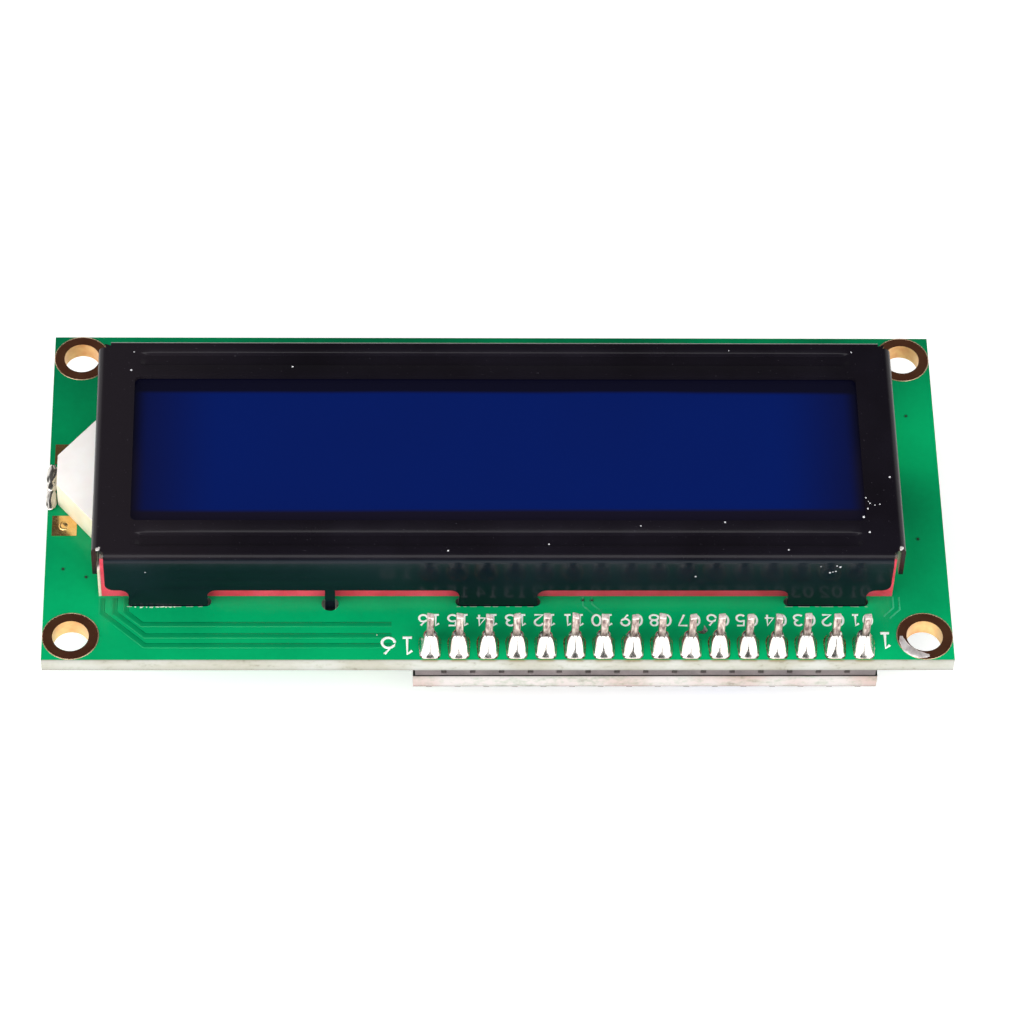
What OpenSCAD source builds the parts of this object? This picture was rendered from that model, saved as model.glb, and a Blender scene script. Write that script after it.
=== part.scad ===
// Character LCD module, two lines of sixteen characters, with a serial interface board.
// The origin is the centre of the four mounting holes on the display board's front face.
// +X runs towards pin 1, +Y away from the pin header, +Z out of the display.

/* [Display board] */
// Width of the display board
board_w = 80; // [74:0.5:90]
// Depth of the display board
board_d = 36; // [34:0.5:42]
// Thickness of both circuit boards
board_t = 1.6; // [1.2:0.1:2]
// Distance of a mounting hole's centre from the board's edges
hole_inset = 2.5; // [2.2:0.1:3]
// Inner diameter of the plated mounting holes
hole_d = 3.2; // [2.5:0.1:3.4]
// Diameter of the plated pads round the mounting holes
hole_pad_d = 4.9; // [4.4:0.1:5.4]
// Thickness of plating and bare pads
plating_t = 0.05; // [0.03:0.01:0.1]

/* [Bezel] */
// Width of the board that shows beyond each end of the bezel
margin_x = 4.4; // [3.8:0.1:6]
// Depth of the board that shows beyond each long side of the bezel
margin_y = 5.8; // [5.4:0.1:6.4]
// Height of the bezel's front face over the board
bezel_h = 7; // [6.4:0.1:8.5]
// Thickness of the bezel's sheet metal
sheet_t = 0.4; // [0.3:0.05:0.5]
// Outer radius of the folded edges
fold_r = 0.7; // [0.55:0.05:1]
// Width of the bezel's border at each end of the viewing window
border_x = 3.35; // [3:0.05:5]
// Width of the bezel's border along each long side of the viewing window
border_y = 4.2; // [3.8:0.1:4.8]
// Corner radius of the viewing window
window_r = 0.5; // [0.2:0.1:2]
// Gap between the long walls and the board
wall_gap = 2.3; // [1.8:0.1:3]
// Gap between the side skirts and the board
skirt_gap = 4; // [3.6:0.1:5]
// Length of the square relief cut out of each corner, along X
relief_x = 1.1; // [0.8:0.1:2]
// Length of the square relief cut out of each corner, along Y
relief_y = 1.8; // [1:0.1:2.5]
// Corner radius of the bezel's flat face
corner_r = 0.6; // [0.2:0.1:1]
// Radius of the long walls' lower corners
wall_corner_r = 0.8; // [0.3:0.1:1.2]
// How much shorter a pressing channel is than the window, at each end
channel_short = 0.25; // [0:0.05:3]
// Width of a pressing channel at its mouth
channel_w = 2; // [1.6:0.1:2.4]
// Depth of a pressing channel
channel_depth = 0.3; // [0.15:0.05:0.5]

/* [Bezel tabs] */
// Width of a fastening tab
tab_w = 6.9; // [5:0.1:8]
// Distance of an end tab's centre from the end of the bezel
tab_inset = 6.6; // [6:0.1:10]
// Length of the folded foot behind the board
tab_foot = 2.4; // [1.4:0.1:3]
// Radius where a tab joins its wall
tab_root_r = 0.8; // [0.3:0.1:1]
// Clearance between a tab and each end of its slot
tab_end_clear = 0.3; // [0.15:0.05:0.5]
// Clearance between a tab's outer face and its slot
tab_face_clear = 0.06; // [0.04:0.01:0.15]
// Width of a tab slot across the board
slot_d = 1; // [0.8:0.05:1.3]
// Width of the locating tab
locator_w = 0.9; // [0.6:0.1:1.2]
// Distance of the locating tab from the middle between two fastening tabs
locator_shift = 0.3; // [0:0.1:3]

/* [Display stack] */
// Thickness of each glass plate
glass_t = 0.7; // [0.55:0.05:1.1]
// Thickness of each polarizer film
film_t = 0.2; // [0.1:0.05:0.3]
// Thickness of a rubber connector strip
strip_t = 2; // [1.6:0.1:2.4]
// Gap between the backlight frame's end wall and the bezel's skirt
frame_end_gap = 0.05; // [0.03:0.01:0.2]
// Gap between a connector strip and the bezel wall
strip_gap = 0.63; // [0.2:0.05:0.9]
// Gap between the strips and what lies between them
strip_fit = 0.08; // [0.05:0.01:0.2]
// Wall of the backlight frame
frame_wall = 1; // [0.6:0.1:1.5]
// Floor of the backlight frame
frame_floor = 0.8; // [0.5:0.1:1.5]
// Height of the backlight frame's end wall beside the strips
frame_end_h = 4; // [2:0.1:4.2]
// Thickness of the backlight frame's end wall beside the strips
frame_end_t = 0.25; // [0.15:0.05:0.3]
// Clearance round the light guide
guide_clear = 0.15; // [0.05:0.05:0.3]
// Height of the lamp housing that sticks out at the left
nose_h = 3; // [2.4:0.1:3.4]
// Distance of the lamp housing's tip from the display board's left edge
nose_inset = 0.9; // [0.8:0.1:2]
// Width of the lamp housing at the bezel
nose_root_w = 11.8; // [8:0.1:14]
// Width of the lamp housing at its tip
nose_tip_w = 3.3; // [2:0.1:5]
// Place of the lamp housing's centre along Y
nose_y = 0.5; // [-2:0.1:2]
// Side of a square backlight pad
lamp_pad = 2.2; // [1.5:0.1:2.6]
// Distance between the two backlight pads
lamp_pad_pitch = 8; // [7:0.1:9]

/* [Pin header] */
// Number of pins between the two boards
pins = 16; // [14:1:16]
// Distance between neighbouring pins
pitch = 2.54; // [2.5:0.01:2.6]
// Side of a square pin
pin_s = 0.64; // [0.5:0.02:0.66]
// Distance of pin 1 from the display board's right edge
pin_one_inset = 7.95; // [7:0.05:10]
// Distance of the pin row from the display board's front edge
row_inset = 1.8; // [1.7:0.1:2.5]
// Height of the header plastic, the gap between the boards
header_h = 1.6; // [1.4:0.1:2.6]
// Width of the header plastic
header_w = 2.4; // [2.2:0.1:2.54]
// Length of the pins in front of the display board
pin_above = 4.3; // [3:0.1:6]
// Diameter of a drilled pin hole
drill_d = 1; // [0.95:0.05:1.1]
// Width of an oval pin pad
pad_w = 1.9; // [1.6:0.1:2]
// Length of an oval pin pad
pad_len = 3.4; // [2.4:0.1:3.5]
// Height of a solder cone
solder_h = 1.5; // [0.8:0.1:2]

/* [Interface board] */
// Width of the interface board beyond the last pin at each end
pack_margin_x = 1.45; // [1.4:0.05:4]
// Depth of the interface board
pack_d = 19; // [19:0.5:22]
// Distance of the pin row from the interface board's front edge
pack_inset = 1.25; // [1.2:0.05:1.6]
// Length of the pins and solder behind the interface board
pin_below = 1.2; // [0.8:0.1:1.6]
// Distance of the expander chip's centre from the interface board's left edge
chip_x = 14.5; // [13:0.1:16]
// Distance of the expander chip's centre from the interface board's front edge
chip_y = 10; // [8.5:0.1:10.4]
// Length of the expander chip's body
chip_len = 10.3; // [9:0.1:10.5]
// Width of the expander chip's body
chip_w = 7.5; // [6:0.1:7.6]
// Height of the expander chip's body
chip_h = 2.25; // [1.6:0.05:2.6]
// Distance between neighbouring chip leads
lead_pitch = 1.27; // [1.1:0.01:1.27]
// Distance of the trimmer's centre from the interface board's left edge
trimmer_x = 27.6; // [26:0.1:29]
// Distance of the trimmer's centre from the interface board's front edge
trimmer_y = 9.6; // [8:0.1:10.5]
// Side of the trimmer's square case
trimmer_s = 6.8; // [6:0.1:7.4]
// Height of the trimmer's case
trimmer_h = 4.8; // [3.6:0.1:6]
// Diameter of the trimmer's rotor
rotor_d = 4.2; // [3:0.1:5]
// Depth of the rotor's seat in the case
rotor_seat = 1.4; // [1:0.1:1.8]
// Running clearance round the rotor
rotor_clear = 0.05; // [0.02:0.01:0.09]
// Length of the right-angle pins beyond their plastic
side_pin_len = 6; // [5:0.1:7]
// Number of pins on the bus connector
bus_pins = 4; // [2:1:4]
// Distance of the side connectors' centres from the interface board's front edge
side_y = 11.4; // [9:0.1:12]
// Thickness of the jumper cap's closed end
cap_end = 0.5; // [0.3:0.1:1]
// Clearance between the jumper cap and the jumper header
cap_clear = 0.1; // [0.05:0.05:0.3]

/* [Small chip parts] */
// Length of a small chip part
part_len = 2; // [1.6:0.1:2.2]
// Width of a small chip part
part_w = 1.25; // [0.8:0.05:1.4]
// Height of a chip resistor
resistor_h = 0.5; // [0.35:0.05:0.6]
// Height of a chip capacitor
capacitor_h = 0.85; // [0.6:0.05:1.1]
// Gap between neighbouring chip parts in a row
part_gap = 1.75; // [1.5:0.05:2]
// Clearance between the chip resistors and the resin dome beside them
dome_clear = 0.3; // [0.2:0.1:0.8]

/* [Hidden] */
$fn = 48;
eps = 0.01; // how far a cut runs past a face

// Heights of the display stack, from the bezel down
glass_top = bezel_h - sheet_t - channel_depth;
ledge_z = glass_top - glass_t;              // underside of the front glass
rear_glass_z = ledge_z - glass_t;
rear_film_z = rear_glass_z - film_t;
diffuser_z = rear_film_z - film_t;

// Bezel, window and mounting holes, inwards from the board's edges
bezel_w = board_w - 2 * margin_x;
bezel_d = board_d - 2 * margin_y;
window_w = bezel_w - 2 * border_x;
window_d = bezel_d - 2 * border_y;
channel_len = window_w - 2 * channel_short;
hole_dx = board_w - 2 * hole_inset;
hole_dy = board_d - 2 * hole_inset;
tab_pitch = bezel_w / 2 - tab_inset;
locator_x = -tab_pitch / 2 - locator_shift;

// Places across the display stack
strip_face = bezel_d / 2 - sheet_t - strip_gap;
strip_back = strip_face - strip_t;
frame_d = 2 * (strip_back - strip_fit);
stack_clear = 0.3;                          // glass and films to the skirts and strips
glass_w = bezel_w - 2 * (sheet_t + stack_clear);
strip_len = bezel_w - 2 * (sheet_t + frame_end_gap + frame_end_t);
frame_w = strip_len - 2 * strip_fit;
cavity_w = frame_w - 2 * frame_wall;
cavity_d = frame_d - 2 * frame_wall;
film_edge = 0.75;                           // film beyond the window on each side
film_w = window_w + 2 * film_edge;
film_d = min(window_d + 2 * film_edge, 2 * (channel_y() - channel_w / 2 - 0.1));

// Board places
board_back = -board_t;
row_y = -board_d / 2 + row_inset;
plastic_top = board_back - plating_t;
pack_top = plastic_top - header_h - plating_t;
pack_back = pack_top - board_t;
pack_front_y = row_y - pack_inset;
pack_left_x = pin_x(0) - pack_margin_x;
pack_right_x = pin_x(pins - 1) + pack_margin_x;
pack_w = pack_right_x - pack_left_x;
pack_rear_y = pack_front_y + pack_d;
part_z = pack_back - plating_t;             // where the parts behind the interface board start
wall_y = bezel_d / 2;
slot_y = wall_y + tab_face_clear - slot_d / 2;
tab_xs = [-tab_pitch, 0, tab_pitch];

// Backlight lamp, its pads and its solder at the left end of the display board
nose_tip_x = -board_w / 2 + nose_inset;
lamp_pad_x = nose_tip_x + 0.65;
lamp_drill_d = 0.9;
lamp_blob_d = 1.15;
lamp_size = [1.4, 3.5, 1.3];

// Right-angle headers
side_leg = 1.6;                             // plastic to the upright leg
side_bend_r = 0.4;                          // inside radius of a pin's bend
side_pin_z = pack_back - pitch / 2;
bus_leg_x = pack_left_x + pitch + side_leg;
jumper_leg_x = pack_right_x - pitch - side_leg;
side_connector_y = pack_front_y + side_y;
leg_above = 0.9;                            // pin beyond the far face of the board

// Jumper cap and its clip
clip_t = 0.15;
cap_socket_h = pin_s + 2 * (clip_t + 0.06);
cap_size = [side_pin_len - cap_clear + 0.1 + clip_t + cap_end, 2 * pitch - 0.1, pitch - 0.1];
cap_x = pack_right_x + cap_clear;

chip_part = [part_len, part_w, resistor_h];
part_step = part_w + part_gap;
chip_standoff = 0.1;                        // chip bodies stand this far off their board

// Resin domes behind the display board
glob_d = 11;
glob_h = 1.35;
controller_pos = [-board_w / 4, 1.5];
driver_pos = [pin_x((pins - 1) / 2) + 1, (pack_rear_y + board_d / 2) / 2 - 1.4];
resistors = 6;
resistor_y = wall_y + part_len;
resistor_x = driver_pos[0] - glob_d / 2 - dome_clear - part_w / 2 - (resistors - 1) * part_step;

// Parts behind the interface board
chip_pos = [pack_left_x + chip_x, pack_front_y + chip_y];
trimmer_pos = [pack_left_x + trimmer_x, pack_front_y + trimmer_y];
trimmer_z = pack_back - trimmer_h;
transistor_pos = [pack_right_x - 4.6, pack_front_y + 5.2];

function channel_y() = (bezel_d - border_y) / 2;
function pin_x(i) = board_w / 2 - pin_one_inset - (pins - 1 - i) * pitch;

// ---- shared shapes ----

module box_at(size, centre, z) {
    translate([centre[0] - size[0] / 2, centre[1] - size[1] / 2, z]) cube(size);
}

// Flat rectangle with round corners
module rounded_rect(w, d, r) {
    square([w - 2 * r, d], center = true);
    square([w, d - 2 * r], center = true);
    for (x = [-1, 1], y = [-1, 1]) translate([x * (w / 2 - r), y * (d / 2 - r)]) circle(r);
}

// Flat oval, long along Y
module oval(w, len) {
    square([w, len - w], center = true);
    for (y = [-1, 1]) translate([0, y * (len - w) / 2]) circle(w / 2);
}

// Square pin, upright, from z0 to z1
module square_pin(z0, z1) {
    translate([-pin_s / 2, -pin_s / 2, z0]) cube([pin_s, pin_s, z1 - z0]);
}

module at_mounting_holes() {
    for (x = [-1, 1], y = [-1, 1]) translate([x * hole_dx / 2, y * hole_dy / 2, 0]) children();
}

module at_pins() {
    for (i = [0 : pins - 1]) translate([pin_x(i), row_y, 0]) children();
}

module display_outline() {
    square([board_w, board_d], center = true);
}

// ---- display board ----

module tab_slot() {
    rotate(90) oval(slot_d, tab_w + 2 * tab_end_clear);
}

module lcd_board() {
    color("seagreen") difference() {
        translate([0, 0, board_back]) linear_extrude(board_t) display_outline();
        translate([0, 0, board_back - eps]) linear_extrude(board_t + 2 * eps) {
            at_mounting_holes() circle(hole_d / 2 + plating_t);
            at_pins() circle(drill_d / 2);
            for (s = [-1, 1]) {
                for (x = tab_xs) translate([x, s * slot_y]) tab_slot();
                translate([locator_x, s * (wall_y - sheet_t / 2)]) circle(locator_w / 2 + 0.3);
            }
            lamp_pad_places() circle(lamp_drill_d / 2);
        }
    }
}

module mounting_hole_plating() {
    color("goldenrod") intersection() {
        difference() {
            union() {
                for (z = [board_back - plating_t, 0])
                    at_mounting_holes() translate([0, 0, z]) cylinder(d = hole_pad_d, h = plating_t);
                at_mounting_holes() translate([0, 0, board_back - plating_t])
                    cylinder(d = hole_d + 2 * plating_t, h = board_t + 2 * plating_t);
            }
            at_mounting_holes() translate([0, 0, board_back - 1])
                cylinder(d = hole_d, h = board_t + 2);
        }
        translate([0, 0, board_back - 1]) linear_extrude(board_t + 2) display_outline();
    }
}

module lcd_header_pads() {
    color("darkgoldenrod") intersection() {
        for (z = [board_back - plating_t, 0]) translate([0, 0, z]) linear_extrude(plating_t)
            at_pins() difference() {
                oval(pad_w, pad_len);
                circle(drill_d / 2);
            }
        translate([0, 0, board_back - 1]) linear_extrude(board_t + 2) display_outline();
    }
}

// ---- bezel ----

// Folded sheet in section: a flat top with two walls that end at height low
module folded_section(width, low) {
    inner_r = fold_r - sheet_t;
    difference() {
        union() {
            translate([-width / 2, low]) square([width, bezel_h - fold_r - low]);
            translate([-width / 2 + fold_r, low]) square([width - 2 * fold_r, bezel_h - low]);
            for (s = [-1, 1]) translate([s * (width / 2 - fold_r), bezel_h - fold_r]) circle(fold_r);
        }
        translate([-width / 2 + sheet_t, low - 1])
            square([width - 2 * sheet_t, bezel_h - fold_r - low + 1]);
        translate([-width / 2 + fold_r, low - 1])
            square([width - 2 * fold_r, bezel_h - sheet_t - low + 1]);
        for (s = [-1, 1]) translate([s * (width / 2 - fold_r), bezel_h - fold_r]) circle(inner_r);
    }
}

// Trapezium trough with cone ends, mouth up, its mouth at z = 0 and half as wide at the foot
module channel_form(extra) {
    mouth = channel_w / 2;
    foot = channel_w / 4;
    straight = channel_len - channel_w;
    translate([-straight / 2, 0, 0]) rotate([90, 0, 90]) linear_extrude(straight)
        polygon([[-mouth, extra], [-mouth, 0], [-foot, -channel_depth], [foot, -channel_depth],
            [mouth, 0], [mouth, extra]]);
    for (s = [-1, 1]) translate([s * straight / 2, 0, 0]) {
        translate([0, 0, -channel_depth]) cylinder(r1 = foot, r2 = mouth, h = channel_depth);
        if (extra > 0) cylinder(r = mouth, h = extra);
    }
}

// Fastening tab from the wall down through the board, with its foot folded inwards behind it.
// The wall's outer face lies at y = 0 and the inside of the display towards +Y.
module fastening_tab() {
    foot_r = 0.2; // inside radius of the foot's fold
    top = wall_gap + tab_root_r;
    upright_end = board_back + foot_r;
    translate([0, sheet_t, 0]) rotate([90, 0, 0]) linear_extrude(sheet_t) {
        translate([-tab_w / 2, upright_end]) square([tab_w, top - upright_end]);
        for (s = [-1, 1]) difference() {
            translate([s * (tab_w + tab_root_r) / 2, wall_gap - tab_root_r / 2])
                square([tab_root_r, tab_root_r], center = true);
            translate([s * (tab_w / 2 + tab_root_r), wall_gap - tab_root_r]) circle(tab_root_r);
        }
    }
    translate([-tab_w / 2, sheet_t + foot_r, upright_end]) rotate([0, 90, 0])
        rotate([0, 0, -90]) rotate_extrude(angle = 90)
            translate([foot_r, 0]) square([sheet_t, tab_w]);
    translate([-tab_w / 2, sheet_t + foot_r, board_back - sheet_t])
        cube([tab_w, tab_foot - sheet_t - foot_r, sheet_t]);
}

module locating_tab() {
    translate([-locator_w / 2, 0, board_back])
        cube([locator_w, sheet_t, wall_gap + tab_root_r - board_back]);
}

// Face and ends of the long walls, seen from the front
module long_wall_outline(len) {
    translate([-len / 2, wall_gap + wall_corner_r])
        square([len, bezel_h - wall_gap - wall_corner_r]);
    translate([-len / 2 + wall_corner_r, wall_gap])
        square([len - 2 * wall_corner_r, wall_corner_r + eps]);
    for (s = [-1, 1]) translate([s * (len / 2 - wall_corner_r), wall_gap + wall_corner_r])
        circle(wall_corner_r);
}

module bezel() {
    long_wall = bezel_w - 2 * relief_x;
    skirt_len = bezel_d - 2 * relief_y;
    color([0.09, 0.09, 0.11]) {
        difference() {
            union() {
                intersection() {
                    translate([-long_wall / 2, 0, 0]) rotate([90, 0, 90])
                        linear_extrude(long_wall) folded_section(bezel_d, wall_gap);
                    rotate([90, 0, 0]) linear_extrude(bezel_d + 2, center = true)
                        long_wall_outline(long_wall);
                }
                translate([0, 0, bezel_h - sheet_t]) linear_extrude(sheet_t)
                    rounded_rect(bezel_w - 2 * fold_r, bezel_d - 2 * fold_r, corner_r);
                translate([0, skirt_len / 2, 0]) rotate([90, 0, 0])
                    linear_extrude(skirt_len) folded_section(bezel_w, skirt_gap);
                for (s = [-1, 1]) translate([0, s * channel_y(), bezel_h - sheet_t])
                    channel_form(0);
            }
            translate([0, 0, bezel_h - sheet_t - 1]) linear_extrude(sheet_t + 2)
                rounded_rect(window_w, window_d, window_r);
            for (s = [-1, 1]) translate([0, s * channel_y(), bezel_h]) channel_form(1);
        }
        for (turn = [0, 180]) rotate(turn) translate([0, -wall_y, 0]) {
            for (x = tab_xs) translate([x, 0, 0]) fastening_tab();
            translate([turn == 0 ? locator_x : -locator_x, 0, 0]) locating_tab();
        }
    }
}

// ---- display stack ----

module connector_strip(side) {
    translate([-strip_len / 2, side * (strip_face + strip_back) / 2 - strip_t / 2, 0])
        cube([strip_len, strip_t, ledge_z]);
}

module front_connector_strip() {
    color([0.95, 0.28, 0.4]) connector_strip(-1);
}

module rear_connector_strip() {
    color([0.95, 0.28, 0.4]) connector_strip(1);
}

// Outline of the lamp housing, from the frame's body to its tip
module nose_outline(inset) {
    root_x = -bezel_w / 2;
    body_x = -frame_w / 2 + inset;
    tip_x = nose_tip_x + inset;
    root = nose_root_w / 2 - inset;
    tip = nose_tip_w / 2 - inset / 2;
    translate([0, nose_y]) polygon([[body_x, -root], [body_x, root], [root_x, root],
        [tip_x, tip], [tip_x, -tip], [root_x, -root]]);
}

module backlight_frame() {
    nose_wall = 0.6;
    color("whitesmoke") difference() {
        union() {
            translate([-frame_w / 2, -frame_d / 2, 0]) cube([frame_w, frame_d, rear_film_z]);
            translate([-frame_w / 2 - strip_fit - frame_end_t, -strip_face, 0])
                cube([frame_end_t, 2 * strip_face, frame_end_h]);
            translate([-frame_w / 2 - strip_fit, -frame_d / 2, 0])
                cube([strip_fit, frame_d, frame_end_h]);
            translate([0, 0, plating_t]) linear_extrude(nose_h - plating_t) nose_outline(0);
        }
        translate([-cavity_w / 2, -cavity_d / 2, frame_floor])
            cube([cavity_w, cavity_d, rear_film_z]);
        translate([0, 0, frame_floor]) linear_extrude(nose_h - frame_floor - nose_wall)
            nose_outline(nose_wall);
        translate([-frame_w / 2 - 1, nose_y - nose_root_w / 2 + nose_wall, frame_floor])
            cube([frame_wall + 2, nose_root_w - 2 * nose_wall, nose_h - frame_floor - nose_wall]);
    }
}

module light_guide() {
    color("aliceblue") translate([-cavity_w / 2 + guide_clear, -cavity_d / 2 + guide_clear, frame_floor])
        cube([cavity_w - 2 * guide_clear, cavity_d - 2 * guide_clear, diffuser_z - frame_floor]);
}

module diffuser_film() {
    color("white") translate([-cavity_w / 2 + guide_clear, -cavity_d / 2 + guide_clear, diffuser_z])
        cube([cavity_w - 2 * guide_clear, cavity_d - 2 * guide_clear, film_t]);
}

module backlight_lamp() {
    color("khaki") box_at(lamp_size, [-(bezel_w + lamp_size[0]) / 2, nose_y], frame_floor);
}

module lamp_pad_places() {
    for (s = [-1, 1]) translate([lamp_pad_x, nose_y + s * lamp_pad_pitch / 2])
        children();
}

module backlight_pads() {
    color("gold") for (z = [board_back - plating_t, 0]) translate([0, 0, z])
        linear_extrude(plating_t) lamp_pad_places() difference() {
            square(lamp_pad, center = true);
            circle(lamp_drill_d / 2);
        }
}

// Two long beads of solder side by side, flat on the board
module backlight_solder() {
    straight = 1.25;
    color("silver") for (s = [-1, 1])
        translate([nose_tip_x - lamp_blob_d / 2 - 0.03, nose_y + s * (straight + lamp_blob_d) / 2, 0])
            difference() {
                union() {
                    rotate([90, 0, 0]) cylinder(d = lamp_blob_d, h = straight, center = true);
                    for (e = [-1, 1]) translate([0, e * straight / 2, 0]) sphere(d = lamp_blob_d);
                }
                translate([-2, -2, -2]) cube([4, 4, 2]);
            }
}

module rear_polarizer() {
    color("lightsteelblue") box_at([film_w, film_d, film_t], [0, 0], rear_film_z);
}

module rear_glass() {
    color([0.7, 0.8, 0.9, 0.5])
        box_at([glass_w - 1, frame_d - 2 * strip_fit, glass_t], [0, 0], rear_glass_z);
}

module front_glass() {
    color([0.7, 0.8, 0.9, 0.5]) box_at([glass_w, 2 * strip_face, glass_t], [0, 0], ledge_z);
}

module front_polarizer() {
    color([0.04, 0.12, 0.4]) box_at([film_w, film_d, film_t], [0, 0], glass_top);
}

// ---- pin header ----

module header_housing() {
    notch = 0.55; // how deep the V between two blocks runs
    color([0.16, 0.15, 0.15]) translate([0, 0, plastic_top - header_h]) linear_extrude(header_h)
        at_pins() difference() {
            polygon([[-pitch / 2, -header_w / 2 + notch], [-pitch / 2 + notch, -header_w / 2],
                [pitch / 2 - notch, -header_w / 2], [pitch / 2, -header_w / 2 + notch],
                [pitch / 2, header_w / 2 - notch], [pitch / 2 - notch, header_w / 2],
                [-pitch / 2 + notch, header_w / 2], [-pitch / 2, header_w / 2 - notch]]);
            square(pin_s, center = true);
        }
}

module header_pins() {
    color("silver") at_pins() square_pin(pack_back - pin_below - 0.3, pin_above);
}

// Solder on an oval pad: a hollow-sided cone, no wider than its pad
module solder_cone(height) {
    top_r = 0.42;
    reach = pad_len / 2;
    flank = [for (a = [0 : 5]) [top_r + (reach - top_r) * pow(a / 5, 1.6), height * (1 - a / 5)]];
    intersection() {
        rotate_extrude() polygon(concat([[0, 0], [0, height]], flank));
        linear_extrude(height) oval(pad_w, pad_len);
    }
}

module lcd_solder_joints() {
    color("gainsboro") intersection() {
        at_pins() difference() {
            union() {
                translate([0, 0, plating_t]) solder_cone(solder_h);
                translate([0, 0, plastic_top]) cylinder(d = drill_d, h = board_t + 2 * plating_t);
            }
            square_pin(plastic_top - 1, pin_above + 1);
        }
        translate([0, 0, board_back - 1]) linear_extrude(board_t + 4) display_outline();
    }
}

// ---- glob-topped chips and resistors behind the display board ----

// Low dome of resin that hangs from the board's back
module glob(d, h) {
    rim = 0.25;
    dome = [for (a = [0 : 10 : 90]) [d / 2 * cos(a), -rim - (h - rim) * sin(a)]];
    translate([0, 0, board_back]) rotate_extrude() polygon(concat([[0, 0], [d / 2, 0]], dome));
}

module controller_blob() {
    color([0.06, 0.06, 0.07]) translate(controller_pos) glob(glob_d + 2, glob_h);
}

module driver_blob() {
    color([0.06, 0.06, 0.07]) translate(driver_pos) glob(glob_d, glob_h);
}

module chip_block(size) {
    translate([-size[0] / 2, -size[1] / 2, -size[2]]) cube(size);
}

module lcd_chip_resistors() {
    color([0.1, 0.1, 0.12]) for (i = [0 : resistors - 1])
        translate([resistor_x + part_step * i, resistor_y, board_back])
            rotate(90) chip_block(chip_part);
}

// ---- interface board ----

module chip_place(i) {
    // the resistors' row starts just left of the expander chip, along the rear edge
    translate([chip_pos[0] - chip_len / 2 - part_w - 0.1 + part_step * i, pack_rear_y - part_len, 0])
        children();
}

module side_leg_places(centre_y, count) {
    for (i = [0 : count - 1]) translate([0, centre_y + (i - (count - 1) / 2) * pitch, 0])
        children();
}

module backpack_board() {
    color("darkgreen") translate([0, 0, pack_back]) linear_extrude(board_t) difference() {
        translate([pack_left_x, pack_front_y]) square([pack_w, pack_d]);
        at_pins() circle(drill_d / 2);
        translate([bus_leg_x, 0]) side_leg_places(side_connector_y, bus_pins) circle(drill_d / 2);
        translate([jumper_leg_x, 0]) side_leg_places(side_connector_y, 2) circle(drill_d / 2);
        trimmer_leg_places() circle(drill_d / 2);
    }
}

module backpack_header_pads() {
    color("darkgoldenrod") for (z = [pack_top, pack_back - plating_t])
        translate([0, 0, z]) linear_extrude(plating_t) at_pins() difference() {
            circle(pad_w / 2);
            circle(drill_d / 2);
        }
}

module through_solder(z0, z1, s) {
    // barrel through the board from z0 to z1, with a cone on the side that s points to
    difference() {
        union() {
            translate([0, 0, z0]) cylinder(d = drill_d, h = z1 - z0);
            translate([0, 0, s > 0 ? z1 : z0]) mirror([0, 0, s > 0 ? 0 : 1])
                cylinder(r1 = pad_w / 2 - 0.1, r2 = 0.42, h = 0.7);
        }
        square_pin(z0 - 3, z1 + 3);
    }
}

module backpack_solder_joints() {
    color("gainsboro") {
        at_pins() through_solder(part_z, pack_top + plating_t, -1);
        translate([bus_leg_x, 0]) side_leg_places(side_connector_y, bus_pins)
            through_solder(pack_back, pack_top, 1);
        translate([jumper_leg_x, 0]) side_leg_places(side_connector_y, 2)
            through_solder(pack_back, pack_top, 1);
        trimmer_leg_places() through_solder(pack_back, pack_top, 1);
    }
}

module expander_chip() {
    bevel = 0.25;
    mark_d = 1;
    half = chip_w / 2;
    color([0.1, 0.1, 0.11]) translate([chip_pos[0], chip_pos[1], pack_back - chip_standoff])
        difference() {
            translate([-chip_len / 2, 0, 0]) rotate([90, 0, 90]) linear_extrude(chip_len)
                polygon([[-half + bevel, 0], [-half, -chip_h / 2], [-half + bevel, -chip_h],
                    [half - 2 * bevel, -chip_h], [half, -chip_h / 2], [half - bevel, 0]]);
            translate([-chip_len / 2 + 1.3 * mark_d, -half + 1.5 * mark_d, -chip_h - eps])
                cylinder(d = mark_d, h = 0.1 + eps);
        }
}

module gull_lead() {
    // one lead in section, extruded to its width; the body's side lies at y = 0
    lead_w = 0.42;
    lead_t = 0.25;
    shoulder = 0.45;
    reach = 1.4;
    mid = -chip_h / 2 - chip_standoff;
    translate([-lead_w / 2, 0, pack_back]) rotate([90, 0, 90]) linear_extrude(lead_w)
        polygon([[0, mid - lead_t / 2], [0, mid + lead_t / 2], [shoulder, mid + lead_t / 2],
            [shoulder + 0.2, 0], [reach, 0], [reach, -lead_t], [shoulder + 0.2 + lead_t, -lead_t],
            [shoulder + lead_t, mid - lead_t / 2]]);
}

module expander_leads() {
    color("silver") for (side = [0, 180]) translate([chip_pos[0], chip_pos[1], 0]) rotate(side)
        for (i = [0 : 7]) translate([(i - 3.5) * lead_pitch, chip_w / 2, 0]) gull_lead();
}

module trimmer_leg_places() {
    for (p = [[-pitch, -pitch / 2], [0, pitch / 2 + 0.6], [pitch, -pitch / 2]])
        translate([trimmer_pos[0] + p[0], trimmer_pos[1] + p[1], 0]) children();
}

module trimmer_body() {
    corner_r = 0.5;
    color([0.1, 0.35, 0.75]) translate([trimmer_pos[0], trimmer_pos[1], 0]) difference() {
        translate([0, 0, trimmer_z]) linear_extrude(trimmer_h)
            rounded_rect(trimmer_s, trimmer_s, corner_r);
        translate([0, 0, trimmer_z - 1]) cylinder(d = rotor_d + 2 * rotor_clear, h = rotor_seat + 1);
    }
}

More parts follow.
